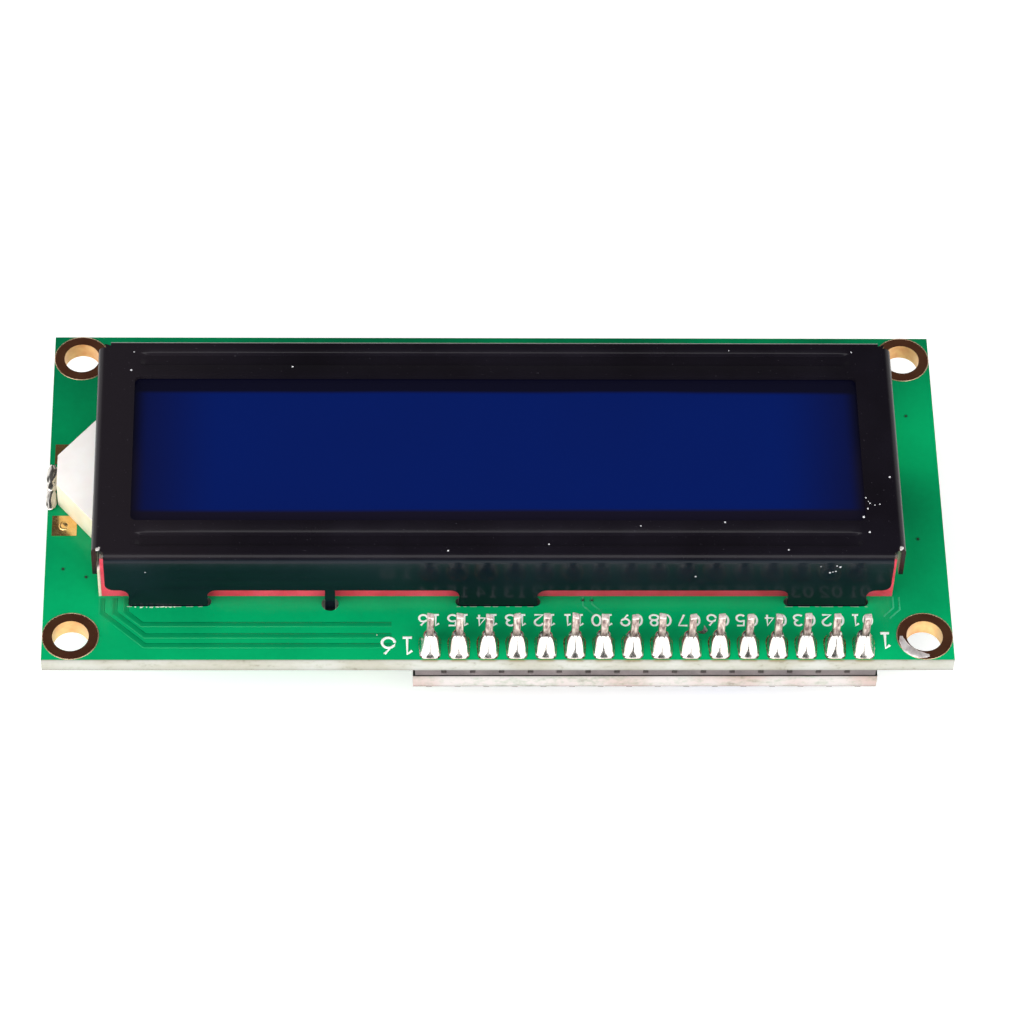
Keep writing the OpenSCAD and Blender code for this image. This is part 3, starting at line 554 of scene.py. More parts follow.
def glass_finish():
    """Faintly green plate glass, a little smeared."""
    mat, tree, shader, coords = new_material("plate_glass")
    smear = noise(tree, coords, 0.4, 3.0, 0.6)
    link(tree, map_range(tree, smear, 0.3, 0.7, 0.03, 0.09), shader.inputs["Roughness"])
    link(tree, ramp(tree, smear, spread(0.3, 0.7, [(150, 190, 185), (185, 210, 205)])),
         shader.inputs["Base Color"])
    set_shader(shader, Transmission_Weight=0.8, IOR=1.5)
    return mat


def chip_ceramic():
    """Dark glaze of the small chip parts."""
    mat, tree, shader, coords = new_material("glazed_chip_part")
    grain = noise(tree, coords, 4.0, 3.0, 0.6)
    link(tree, ramp(tree, grain, spread(0.3, 0.7, [(22, 22, 26), (40, 40, 46)])),
         shader.inputs["Base Color"])
    link(tree, map_range(tree, grain, 0.3, 0.7, 0.25, 0.4), shader.inputs["Roughness"])
    bump(tree, shader, grain, 0.1, 0.01)
    return mat


def silk_ink():
    """Thick white printing ink."""
    mat, tree, shader, coords = new_material("white_ink")
    grain = noise(tree, coords, 6.0, 4.0, 0.7)
    link(tree, ramp(tree, grain, spread(0.2, 0.5, [(214, 236, 224), (248, 252, 248)])),
         shader.inputs["Base Color"])
    set_shader(shader, Roughness=0.6)
    bump(tree, shader, grain, 0.2, 0.01)
    return mat


green_mask = solder_mask("green_solder_mask", (0, 90, 56), (1, 180, 109))
black_mask = solder_mask("black_solder_mask", (14, 14, 16), (30, 31, 34), 0.3,
                         top=pack_high.z, pale=(204, 197, 194), tint=(236, 216, 210))
gap_lacquer = solder_mask("lacquer_over_gap", (0, 76, 46), (0, 152, 91))
gap_edge_lacquer = solder_mask("lacquer_at_gap_edge", (0, 83, 51), (0, 166, 100))
paint = bezel_paint()
film = display_film()
glass = glass_finish()
hole_gold = plated_hole()
cut_pin = nipped_pin()
housing_white = lamp_housing()
resistor_glaze = chip_ceramic()

gold = metal("gold_plate", [(190, 120, 70), (225, 165, 100), (240, 190, 130)], (0.16, 0.32))
bright_gold = metal("bright_gold_plate", [(235, 180, 105), (250, 215, 150)], (0.12, 0.25))
pin_gold = metal("pin_gold", [(214, 168, 84), (240, 205, 125)], (0.16, 0.3))
# Pale gold, partly a painted highlight, for the lips round the hole rings
lip_gold_and_highlight = metal("lip_gold_and_highlight", [(196, 150, 112), (252, 226, 196)], (0.2, 0.4))
tin = metal("bright_tin", [(196, 190, 184), (226, 222, 216), (242, 240, 236)], (0.1, 0.26),
            bump_strength=0.25)
rough_tin = metal("rough_tin", [(150, 140, 138), (236, 230, 228), (252, 250, 248)],
                  (0.3, 0.55), bump_strength=0.6, metallic=0.6)
dull_tin = metal("dull_tin", [(150, 146, 140), (190, 186, 180)], (0.25, 0.42))

pink_rubber = moulded("pink_silicone", [(214, 52, 76), (240, 82, 104)], (0.4, 0.55),
                      subsurface=0.3)
white_plastic = moulded("white_plastic", [(250, 244, 240), (254, 250, 247)], (0.35, 0.5),
                        bump_strength=0.05, subsurface=0.2)
black_plastic = moulded("black_plastic", [(34, 32, 32), (52, 50, 50)], (0.4, 0.55))
grey_plastic = moulded("header_plastic", [(84, 76, 76), (118, 108, 108)], (0.4, 0.6))
chip_resin = moulded("chip_resin", [(28, 28, 31), (44, 44, 48)], (0.45, 0.6),
                     bump_strength=0.3)
glob_resin = moulded("glob_resin", [(14, 14, 16), (24, 24, 27)], (0.12, 0.22), coat=0.4)
trimmer_blue = moulded("trimmer_blue", [(16, 70, 168), (30, 92, 196)], (0.25, 0.38))
rotor_white = moulded("rotor_white", [(222, 220, 210), (240, 238, 230)], (0.35, 0.5))
lamp_resin = moulded("lamp_resin", [(226, 214, 120), (244, 232, 150)], (0.2, 0.3))
led_resin = moulded("led_resin", [(236, 190, 170), (248, 214, 196)], (0.15, 0.25), coat=0.3)
capacitor = moulded("capacitor_body", [(150, 120, 84), (178, 146, 106)], (0.4, 0.5))
clear_acrylic = moulded("clear_acrylic", [(225, 232, 236), (240, 245, 248)], (0.08, 0.15))
track_lacquer = moulded("lacquer_over_track", [(24, 158, 104), (56, 178, 128)], (0.2, 0.3))
black_track = moulded("black_lacquer_over_track", [(34, 35, 38), (48, 49, 53)], (0.2, 0.3))
# Painted shade of a small drilling, drawn as a dark disc
painted_hole_shade = moulded("painted_hole_shade", [(4, 12, 9), (10, 26, 20)], (0.4, 0.6))
bare_laminate = moulded("bare_laminate", [(190, 196, 178), (228, 230, 216)], (0.6, 0.8),
                        bump_strength=0.4)
rim_laminate = moulded("laminate_rim", [(96, 120, 100), (176, 188, 170)], (0.6, 0.8),
                       bump_strength=0.4)
# Pale grains: dust, and painted glints at the bezel channels' ends
dust_and_glint_fluff = moulded("dust_and_glint_fluff", [(190, 190, 195), (235, 235, 238)], (0.8, 0.95),
                     bump_strength=0.5)
ink = silk_ink()


# ---------------------------------------------------------------- bezel

def cut_lines(bm, axis, places):
    """Divides every face along planes across one axis."""
    normal = Vector((axis == "x", axis == "y", axis == "z"))
    for place in places:
        geom = bm.verts[:] + bm.edges[:] + bm.faces[:]
        bmesh.ops.bisect_plane(bm, geom=geom, plane_co=normal * place, plane_no=normal,
                               dist=1e-5)


def ring_edges(bm, test):
    """Open edges whose two ends both pass a test."""
    return [e for e in bm.edges if e.is_boundary and all(test(v.co) for v in e.verts)]


def fold(bm, edges, axis, centre, angle, steps=8):
    """Sweeps open edges round a fold line and returns the edges at the far end."""
    swept = bmesh.ops.spin(bm, geom=edges, cent=centre, axis=axis, angle=angle, steps=steps,
                           use_duplicate=False)
    return [g for g in swept["geom_last"] if isinstance(g, bmesh.types.BMEdge)]


def draw_out(bm, edges, vec):
    """Extrudes open edges along a vector and returns the new outer edges."""
    made = bmesh.ops.extrude_edge_only(bm, edges=edges)["geom"]
    verts = [g for g in made if isinstance(g, bmesh.types.BMVert)]
    bmesh.ops.translate(bm, vec=vec, verts=verts)
    chosen = set(verts)
    return [g for g in made if isinstance(g, bmesh.types.BMEdge)
            and all(v in chosen for v in g.verts)]


def near_vert(bm, place):
    """The mesh's vertex at a place."""
    return min(bm.verts, key=lambda v: (v.co - Vector(place)).length)


def between(bm, start, end):
    """Vertices on the straight line from one vertex to another, in order."""
    span = end.co - start.co
    found = []
    for vert in bm.verts:
        share = (vert.co - start.co).dot(span) / span.length_squared
        off_line = (start.co + span * share - vert.co).length
        if NEAR < share < 1 - NEAR and off_line < NEAR:
            found.append((share, vert))
    return [vert for share, vert in sorted(found, key=lambda pair: pair[0])]


def web(bm, corner, first, last, centre):
    """Fills an inner corner between two edges with a face that ends in an arc."""
    corner, first, last = (near_vert(bm, p) for p in (corner, first, last))
    to_first, from_last = between(bm, corner, first), between(bm, last, corner)
    centre = Vector(centre)
    arc = []
    for i in range(1, 6):
        spoke = first.co.lerp(last.co, i / 6) - centre
        spoke.normalize()
        arc.append(bm.verts.new(centre + spoke * (first.co - centre).length))
    bm.faces.new([corner, *to_first, first, *arc, last, *from_last])


def edges_across(edges, x, width):
    """The edges that lie within a width about a place along the wall."""
    reach = width / 2 + NEAR
    return [e for e in edges if all(abs(v.co.x - x) < reach for v in e.verts)]


BEZEL_TOP = bezel_high.z
HALF_D = bezel_high.y
FLAT_W, FLAT_D = bezel_high.x - FOLD_R, HALF_D - FOLD_R
WALL = bezel_high.x - RELIEF[0]  # half the length of the long walls
SKIRT_ENDS = (RELIEF[1] - HALF_D, HALF_D - REAR_RELIEF)
CHANNEL_Y = (HALF_D + WINDOW[1] / 2) / 2 - CHANNEL_SHIFT


def divide_face(bm):
    """Divides the flat sheet where its reliefs, tabs, window and channels begin."""
    root = TAB[2]
    xs = [-WALL, WALL]
    for x in TAB_X:
        xs += [x - TAB[0] / 2 - root, x - TAB[0] / 2, x + TAB[0] / 2, x + TAB[0] / 2 + root]
    ys = list(SKIRT_ENDS)
    for s in (-1, 1):
        xs += [s * LOCATOR[0] - LOCATOR[1] / 2, s * LOCATOR[0] + LOCATOR[1] / 2]
        xs += [s * WINDOW[0] / 2, s * (WINDOW[0] / 2 - WINDOW_R)]
        xs += [s * (CHANNEL[0] / 2 - k) for k in (0, 0.35, 0.8, CHANNEL_END)]
        ys += [s * WINDOW[1] / 2, s * (WINDOW[1] / 2 - WINDOW_R)]
        ys += [s * CHANNEL_Y + CHANNEL[1] * k for k in (-0.5, -0.45, -0.36, 0, 0.36, 0.45, 0.5)]
    cut_lines(bm, "x", sorted(set(xs)))
    cut_lines(bm, "y", sorted(set(ys)))


def open_window(bm):
    """Takes out the window and gives each of its corners a small arc."""
    inside = []
    for face in bm.faces:
        middle = face.calc_center_median()
        if abs(middle.x) < WINDOW[0] / 2 and abs(middle.y) < WINDOW[1] / 2:
            inside.append(face)
    bmesh.ops.delete(bm, geom=inside, context="FACES")
    for sx in (-1, 1):
        for sy in (-1, 1):
            x, y, r = sx * WINDOW[0] / 2, sy * WINDOW[1] / 2, WINDOW_R
            web(bm, (x, y, BEZEL_TOP), (x - sx * r, y, BEZEL_TOP), (x, y - sy * r, BEZEL_TOP),
                (x - sx * r, y - sy * r, BEZEL_TOP))


def press_channels(bm):
    """Presses the two long channels, with sloping sides and ends."""
    for vert in bm.verts:
        across = 0.5 - abs(abs(vert.co.y) - CHANNEL_Y) / CHANNEL[1]
        along = (CHANNEL[0] / 2 - abs(vert.co.x)) / CHANNEL_END
        if min(across, along) > NEAR:
            steep = 1.0 if across > 0.1 else 0.25
            gentle = min(1.0, along * along * (3 - 2 * min(along, 1.0)))
            vert.co.z -= CHANNEL[2] * steep * gentle


def fold_tab(bm, low, x, s):
    """Draws a tab down through the board, folds it flat behind and webs it to the wall."""
    width, length, root = TAB
    bend_r = SHEET + TAB_SHOULDER
    bend_z = BOARD_BACK + TAB_SHOULDER
    foot = draw_out(bm, edges_across(low, x, width), (0, 0, -root))
    foot = draw_out(bm, foot, (0, 0, bend_z - (WALL_GAP - root)))
    foot = fold(bm, foot, (1, 0, 0), (0, s * (HALF_D - bend_r), bend_z), -s * math.pi / 2, 5)
    draw_out(bm, foot, (0, -s * (length - bend_r), 0))
    y = s * HALF_D
    for side in (-1, 1):
        near_x = x + side * width / 2
        far_x = near_x + side * root
        web(bm, (near_x, y, WALL_GAP), (far_x, y, WALL_GAP), (near_x, y, WALL_GAP - root),
            (far_x, y, WALL_GAP - root))


def fold_wall(bm, s):
    """Folds a long wall down, with its three tabs and its locating tab."""
    edges = ring_edges(bm, lambda c: abs(c.y - s * FLAT_D) < NEAR and abs(c.x) < WALL + NEAR)
    last = fold(bm, edges, (1, 0, 0), (0, s * FLAT_D, BEZEL_TOP - FOLD_R), -s * math.pi / 2)
    low = draw_out(bm, last, (0, 0, WALL_GAP + FOLD_R - BEZEL_TOP))
    for x in TAB_X:
        fold_tab(bm, low, x, s)
    draw_out(bm, edges_across(low, *LOCATOR), (0, 0, BOARD_BACK - WALL_GAP))


def fold_skirt(bm, s):
    """Folds an end skirt down."""
    edges = ring_edges(bm, lambda c: abs(c.x - s * FLAT_W) < NEAR
                       and SKIRT_ENDS[0] - NEAR < c.y < SKIRT_ENDS[1] + NEAR)
    last = fold(bm, edges, (0, 1, 0), (s * FLAT_W, 0, BEZEL_TOP - FOLD_R), s * math.pi / 2)
    draw_out(bm, last, (0, 0, SKIRT_GAP + FOLD_R - BEZEL_TOP))


def round_corners(bm):
    """Draws the rear corners out a little and rounds every corner of the sheet."""
    out, back, down = REAR_DRAW
    for s in (-1, 1):
        move(bm, [near_vert(bm, (s * FLAT_W, FLAT_D, BEZEL_TOP))], s * out, back, down)
    rear = [(s * (FLAT_W + out), FLAT_D + back, BEZEL_TOP + down) for s in (-1, 1)]
    front = [(s * FLAT_W, -FLAT_D, BEZEL_TOP) for s in (-1, 1)]
    low = [(sx * WALL, sy * HALF_D, WALL_GAP) for sx in (-1, 1) for sy in (-1, 1)]
    for radius, places in ((REAR_CORNER_R, rear), (CORNER_R, front), (WALL_CORNER_R, low)):
        bmesh.ops.bevel(bm, geom=[near_vert(bm, p) for p in places], offset=radius, segments=5,
                        profile=0.5, affect="VERTICES", material=-1, clamp_overlap=True)


def bezel_skin():
    """The bezel's outer skin as one folded sheet, without thickness."""
    bm = bmesh.new()
    bmesh.ops.create_grid(bm, x_segments=1, y_segments=1, size=1.0)
    bmesh.ops.scale(bm, vec=(FLAT_W, FLAT_D, 1.0), verts=bm.verts)
    move(bm, bm.verts[:], z=BEZEL_TOP)
    divide_face(bm)
    open_window(bm)
    press_channels(bm)
    for s in (-1, 1):
        fold_wall(bm, s)
        fold_skirt(bm, s)
    round_corners(bm)
    return bm


def make_bezel():
    """The folded sheet, given its thickness and eased edges."""
    bm = bezel_skin()
    bmesh.ops.remove_doubles(bm, verts=bm.verts, dist=1e-4)
    bmesh.ops.recalc_face_normals(bm, faces=bm.faces)
    up = max(bm.faces, key=lambda f: f.calc_center_median().z)
    if up.normal.z < 0:
        bmesh.ops.reverse_faces(bm, faces=bm.faces)
    piece = place_piece("folded_bezel", bm, paint, smooth=50.0, stands_for=("bezel",))
    thick = piece.modifiers.new("sheet", "SOLIDIFY")
    thick.thickness = SHEET * MM
    thick.offset = -1.0
    thick.use_even_offset = True
    ease = piece.modifiers.new("eased_edges", "BEVEL")
    ease.width = BEZEL_EASE * MM
    ease.segments = 2
    ease.limit_method = "ANGLE"
    ease.angle_limit = math.radians(50)
    ease.harden_normals = True
    return piece


make_bezel()


# ---------------------------------------------------------------- pins, pads and solder

PAD_HALF, PAD_BORE = 0.99, 0.45  # half width of a pad and radius of its drilling
PAD_REAR = 1.05                  # reach of a pad behind the pin
LOOP_HALF = 20                   # steps in half a loop


def pad_ring(bm, x, z, half, front, ridge=0.0, rear=None, corner=5.0):
    """A closed loop, square towards the board's front edge and round behind the pin."""
    loop = bmesh.ops.create_circle(bm, segments=2 * LOOP_HALF, radius=1.0)["verts"]
    loop.sort(key=lambda v: math.atan2(v.co.y, v.co.x) % (2 * math.pi))
    for k, vert in enumerate(loop):
        if k < LOOP_HALF:
            turn = math.pi * k / LOOP_HALF
            vert.co = (half * math.cos(turn), (rear or half) * math.sin(turn), 0)
        else:
            u = -1 + 2 * (k - LOOP_HALF) / LOOP_HALF
            square = (1 - abs(u) ** corner) ** (1 / corner)
            vert.co = (half * u, -front * square - ridge * (1 - abs(u)) ** 1.2, 0)
    move(bm, loop, x, ROW_Y, z)
    return edges_of(loop)


def make_pads():
    """Plated pads: cut square near the board's front edge, oval behind the board."""
    bm = bmesh.new()
    for x in PIN_X:
        for low, front in ((BOARD_TOP, 1.75), (BOARD_BACK - PAD_T, 1.6)):
            faces = (low, low + PAD_T)
            outer = [pad_ring(bm, x, z, PAD_HALF, front, rear=PAD_REAR) for z in faces]
            inner = [pad_ring(bm, x, z, PAD_BORE, PAD_BORE) for z in faces]
            around = (*outer, *reversed(inner))
            for a, b in zip(around, (*around[1:], around[0])):
                bmesh.ops.bridge_loops(bm, edges=a + b)
    return new_piece("header_pads", bm, gold, smooth=30.0, stands_for=("lcd_header_pads",))


SOLDER_TALL = 1.5
# Share of the height, half width, reach in front, ridge and squareness of each level
SOLDER_LEVELS = ((0.0, 0.96, 1.7, 0.0, 5.0), (0.03, 0.93, 1.62, 0.01, 4.2),
                 (0.1, 0.9, 1.52, 0.03, 3.5), (0.24, 0.86, 1.32, 0.09, 3.0),
                 (0.42, 0.8, 1.08, 0.16, 2.6), (0.6, 0.72, 0.88, 0.18, 2.4),
                 (0.77, 0.63, 0.71, 0.14, 2.2), (0.89, 0.53, 0.57, 0.07, 2.1),
                 (0.96, 0.42, 0.44, 0.02, 2.0), (1.0, 0.26, 0.28, 0.0, 2.0))


def make_solder():
    """Solder drawn up each pin: a tent with a soft ridge that meets the pin in a collar."""
    rng = random.Random(5)
    bm = bmesh.new()
    for x in PIN_X:
        tall = SOLDER_TALL * rng.uniform(0.94, 1.08)
        flat = rng.uniform(0.8, 1.6)
        skew = rng.uniform(-0.05, 0.05)
        wide = rng.uniform(0.96, 1.03)
        loops = []
        for t, half, front, ridge, corner in SOLDER_LEVELS:
            loops.append(pad_ring(bm, x + skew * t, BOARD_TOP + PAD_T + tall * t, half * wide,
                                  front, ridge * flat, rear=half * (1 - 0.1 * t), corner=corner))
        for low, high in zip(loops, loops[1:]):
            bmesh.ops.bridge_loops(bm, edges=low + high)
        bmesh.ops.holes_fill(bm, edges=loops[0] + loops[-1], sides=0)
    return new_piece("pin_solder", bm, tin, smooth=75.0, stands_for=("lcd_solder_joints",))


def make_pins():
    """Square pins, leaning a little, with nipped tips."""
    rng = random.Random(11)
    bm = bmesh.new()
    for x in PIN_X:
        made = add_box(bm, (x - PIN / 2, ROW_Y - PIN / 2, pins_low.z),
                       (x + PIN / 2, ROW_Y + PIN / 2, pins_high.z))
        lean = rng.uniform(-0.06, 0.14), rng.uniform(-0.08, 0.05)
        nip = rng.uniform(-0.12, 0.12)
        for vert in [v for v in made if v.co.z > 0]:
            vert.co.z -= 0.15 + nip * (vert.co.x - x) / PIN * 2 + rng.uniform(0.0, 0.06)
            vert.co.x += lean[0]
            vert.co.y += lean[1]
        bevel_edges(bm, edges_of(made), 0.12, 3)
    return new_piece("cut_pins", bm, cut_pin, smooth=45.0, stands_for=("header_pins",))


make_pads()
make_solder()
make_pins()


NOTCH_HALF = 0.24    # half width of a snap-off groove
NOTCH_FLOOR = 0.3    # plastic left below a groove


def make_header_plastic():
    """Header moulding with a snap-off groove between every two pins."""
    low, high = plastic_low, plastic_high
    bm = bmesh.new()
    add_box(bm, low, high)
    seams = [x + PITCH / 2 for x in PIN_X[:-1]]
    cut_lines(bm, "x", [x + s * NOTCH_HALF for x in seams for s in (-1, 1)])
    shelf = low.z + NOTCH_FLOOR
    cut_lines(bm, "z", [shelf])

    def over_seam(face, side):
        c = face.calc_center_median()
        return (abs(c.y - side) < 0.01 and c.z > shelf
                and min(abs(c.x - x) for x in seams) < NOTCH_HALF)

    for side, depth in ((low.y, 0.75), (high.y, -0.5)):
        for face in [f for f in bm.faces if over_seam(f, side)]:
            inner = bmesh.ops.extrude_face_region(bm, geom=[face])["geom"]
            move(bm, [g for g in inner if isinstance(g, bmesh.types.BMVert)], y=depth)
            bmesh.ops.delete(bm, geom=[face], context="FACES_ONLY")
    sharp = [e for e in bm.edges if len(e.link_faces) == 2 and e.calc_face_angle(0) > 1.0]
    bevel_edges(bm, sharp, 0.04, 2)
    return new_piece("header_moulding", bm, grey_plastic, stands_for=("header_housing",))


make_header_plastic()


def make_lamp_solder():
    """Two lumps of solder side by side at the lamp housing's tip."""
    rng = random.Random(3)
    bm = bmesh.new()
    low, high = lamp_solder_low, lamp_solder_high
    middle = (low + high) / 2
    span = high - low
    for place, size in ((0.29, 0.27), (-0.27, 0.25), (0.02, 0.13)):
        ball = bmesh.ops.create_icosphere(bm, subdivisions=4, radius=1.0)["verts"]
        for vert in ball:
            dent = noise_at(vert.co * 1.7 + Vector((place * 9, rng.random() * 0.02, 4)))
            vert.co *= 1 + 0.22 * dent
            vert.co.x *= span.x * 0.44
            vert.co.y *= span.y * size
            vert.co.z *= span.z * 0.44
        move(bm, ball, middle.x, middle.y + span.y * place, middle.z)
        for vert in ball:
            vert.co.z = max(vert.co.z, low.z)
    return new_piece("lamp_solder", bm, tin, smooth=80.0, stands_for=("backlight_solder",))


make_lamp_solder()


# ---------------------------------------------------------------- drawn lines and numbers

def drawn_lines(name, runs, width, rise, z, finish):
    """Thin raised lines with round ends, such as printing or copper under lacquer."""
    curve = bpy.data.curves.new(name, "CURVE")
    curve.dimensions = "3D"
    curve.bevel_depth = width / 2
    curve.bevel_resolution = 2
    curve.use_fill_caps = True
    for run in runs:
        spline = curve.splines.new("POLY")
        spline.points.add(len(run) - 1)
        for point, (x, y) in zip(spline.points, run):
            point.co = (x, y, 0.0, 1.0)
    carrier = bpy.data.objects.new(name, curve)
    bpy.context.scene.collection.objects.link(carrier)
    bpy.context.view_layer.update()
    mesh = bpy.data.meshes.new_from_object(carrier)
    bpy.data.objects.remove(carrier)
    flatten = Matrix.Diagonal((1, 1, rise / (width / 2), 1))
    mesh.transform(Matrix.Scale(MM, 4) @ Matrix.Translation((0, 0, z)) @ flatten)
    mesh.materials.clear()
    mesh.materials.append(finish)
    mesh.polygons.foreach_set("use_smooth", [True] * len(mesh.polygons))
    piece = bpy.data.objects.new(name, mesh)
    bpy.context.scene.collection.objects.link(piece)
    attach(piece, "module")
    return piece


def arc(x, y, rx, ry, start, end, steps=12):
    """Points of an arc, from one angle to another in degrees."""
    turns = [math.radians(start + (end - start) * i / steps) for i in range(steps + 1)]
    return [(x + rx * math.cos(t), y + ry * math.sin(t)) for t in turns]


def numeral(figure):
    """Pen strokes of a numeral, one wide and one and a half tall."""
    six = [[(0.8, 1.5)] + arc(0.5, 0.47, 0.48, 0.47, 165, -180, 16)]
    return {
        "0": [arc(0.5, 0.75, 0.48, 0.75, 90, 450, 20)],
        "1": [[(0.15, 1.2), (0.5, 1.5), (0.5, 0.0)], [(0.15, 0.0), (0.85, 0.0)]],
        "2": [arc(0.5, 1.05, 0.48, 0.45, 165, -40, 10) + [(0.0, 0.0), (1.0, 0.0)]],
        "3": [arc(0.45, 1.12, 0.44, 0.38, 150, -80, 9) + arc(0.46, 0.38, 0.5, 0.38, 80, -150, 10)],
        "4": [[(0.72, 0.0), (0.72, 1.5), (0.0, 0.45), (1.0, 0.45)]],
        "5": [[(0.92, 1.5), (0.16, 1.5), (0.08, 0.82)] + arc(0.46, 0.46, 0.5, 0.46, 125, -145, 10)],
        "6": six,
        "7": [[(0.0, 1.5), (1.0, 1.5), (0.35, 0.0)]],
        "8": [arc(0.5, 1.12, 0.4, 0.38, 90, 450, 14), arc(0.5, 0.37, 0.5, 0.37, 90, 450, 14)],
        "9": [[(1 - x, 1.5 - y) for x, y in run] for run in six],
    }[figure]


NUMERAL_TALL = 1.5
NUMERAL_STEP = 1.42  # from one figure to the next


def number_strokes(text, tall, at, up=-1):
    """Strokes of a whole number, centred on a place; up is which way its top points."""
    size = tall / NUMERAL_TALL
    start = -(NUMERAL_STEP * (len(text) - 1) + 1) / 2
    runs = []
    for i, figure in enumerate(text):
        for run in numeral(figure):
            runs.append([(at[0] - (x + start + NUMERAL_STEP * i) * size,
                          at[1] + up * (y - NUMERAL_TALL / 2) * size) for x, y in run])
    return runs


def address_places():
    """Centres of the three pairs of address pads."""
    middle_y = (address_low.y + address_high.y) / 2
    return [(address_low.x + (address_high.x - address_low.x) * (0.5 + i) / 3, middle_y)
            for i in range(3)]


def rectangle(x0, y0, x1, y1):
    """A closed run round a rectangle."""
    return [(x0, y0), (x1, y0), (x1, y1), (x0, y1), (x0, y0)]


def print_front():
    """Plain numbers at the ends of the pin row and behind each pin, and two specks of ink."""
    ends = number_strokes("16", 1.75, (-8.85, -16.5))
    ends += number_strokes("1", 1.6, (34.0, -15.95))
    drawn_lines("end_numbers", ends, 0.26, INK_T, BOARD_TOP, ink)
    labels = []
    for i, x in enumerate(PIN_X):
        labels += number_strokes("%02d" % (PINS - i), 1.15, (x, -13.75))
    drawn_lines("pin_numbers", labels, 0.2, INK_T, BOARD_TOP, ink)
    dots = [[(x, y), (x + 0.04, y)] for x, y in ((-10.7, -15.35), (33.0, -16.8))]
    drawn_lines("ink_specks", dots, 0.16, INK_T, BOARD_TOP, ink)


RESISTORS, RESISTOR_WIDE = 6, 1.25


def print_behind():
    """Outlines and plain numbers on the backs of both boards, read from behind."""
    lines = []
    for low, high, room in ((trimmer_low, trimmer_high, 0.5), (chip_low, chip_high, 0.6)):
        lines.append(rectangle(low.x - room, low.y - room, high.x + room, high.y + room))
    lines.append(arc(chip_high.x + 1.1, chip_low.y - 0.9, 0.22, 0.22, 0, 360, 10))
    for i in range(4):
        place = (bus_high.x + 1.5, bus_low.y + (i + 0.5) * PITCH)
        lines += number_strokes(str(i + 1), 1.1, place, 1)
    for i, (x, y) in enumerate(address_places()):
        lines.append(rectangle(x - 0.95, y - 1.75, x + 0.95, y + 1.75))
        lines += number_strokes(str(i + 1), 1.0, (x, y - 2.6), 1)
    for text, x in (("1", PIN_X[-1]), ("16", PIN_X[0])):
        lines += number_strokes(text, 1.2, (x, ROW_Y + 2.1), 1)
    drawn_lines("interface_print", lines, 0.16, BACK_INK_T, pack_low.z, ink)
    lines = []
    for low, high in (box_mm("controller_blob"), box_mm("driver_blob")):
        x, y, r = (low.x + high.x) / 2, (low.y + high.y) / 2, (high.x - low.x) / 2 + 0.7
        lines.append(arc(x, y, r, r, 0, 360, 48))
    first = resistor_low.x + RESISTOR_WIDE / 2
    step = (resistor_high.x - resistor_low.x - RESISTOR_WIDE) / (RESISTORS - 1)
    for i in range(RESISTORS):
        x = first + i * step
        for side in (x - 0.95, x + 0.95):
            lines.append([(side, resistor_low.y - 0.3), (side, resistor_high.y + 0.3)])
        lines += number_strokes(str(i + 1), 1.0, (x, resistor_high.y + 1.1), 1)
    for text, x in (("16", -9.0), ("1", 34.6)):
        lines += number_strokes(text, 1.5, (x, ROW_Y), 1)
    drawn_lines("display_board_print", lines, 0.18, BACK_INK_T, BOARD_BACK, ink)


def tracks_behind():
    """Copper tracks under the lacquer on the backs of both boards."""
    runs = []
    for i in range(8):
        y = -7.0 + i * 1.15
        runs.append([(-27.5, y * 0.45 + 1.5), (-30.2 - 0.25 * i, y), (-34.5, y), (-36.4, y + 1.9)])
    for i in range(9):
        x = 3.0 + i * 1.05
        runs.append([(8.6 + i * 0.6, 3.2), (x, 2.4), (x, 1.9)])
        runs.append([(-14.2, 3.8 - i * 0.5), (-9.5 + i * 0.2, 5.2 - i * 0.35),
                     (-2.0, 10.6 - i * 0.6), (8.4, 11.2 - i * 0.62)])
    drawn_lines("display_board_tracks", runs, 0.24, 0.02, BOARD_BACK, track_lacquer)
    runs = []
    for i in range(7):
        x = chip_low.x + 0.7 + i * 1.27
        runs.append([(x, chip_low.y - 1.6), (x, -13.4 - 0.1 * i), (PIN_X[5 + i], -14.4),
                     (PIN_X[5 + i], -15.2)])
    for i in range(4):
        y = bus_low.y + (i + 0.5) * PITCH
        runs.append([(bus_high.x + 2.4, y), (-2.0 + 0.4 * i, y), (0.6, y * 0.7 - 1.2)])
    runs.append([(13.2, -2.0), (18.0, -2.4), (22.5, -2.4), (24.0, -4.0)])
    drawn_lines("interface_tracks", runs, 0.26, 0.02, pack_low.z, black_track)


def copper_under_lacquer():
    """Gaps between the copper areas, darker, and single tracks, lighter, under the lacquer."""
    gaps = []
    for start_x, bend_y, end_y in ((-32.75, -12.9, -14.23), (-33.75, -12.95, -15.45),
                                   (-34.85, -13.0, -16.5)):
        end_x = start_x + (bend_y - end_y) * 1.1
        gaps.append([(start_x, -11.4), (start_x, bend_y), (end_x, end_y), (-9.4, end_y)])
    drawn_lines("copper_gap_edges", gaps, 0.56, 0.005, BOARD_TOP, gap_edge_lacquer)
    drawn_lines("copper_gaps", gaps, 0.36, 0.008, BOARD_TOP, gap_lacquer)
    tracks = []
    for x, y, way in ((34.95, -12.4, -1), (35.5, -12.6, -1), (7.5, -12.2, 1), (8.3, -12.0, 1)):
        tracks.append([(x, -11.25), (x, y), (x + way * 0.9, y - 0.9), (x + way * 0.9, y - 1.0)])
    for y in (13.4, 14.6, 15.8):
        tracks.append([(-24.0, y), (26.0, y), (27.4, y - 1.4)])
    drawn_lines("tracks", tracks, 0.16, 0.012, BOARD_TOP, track_lacquer)


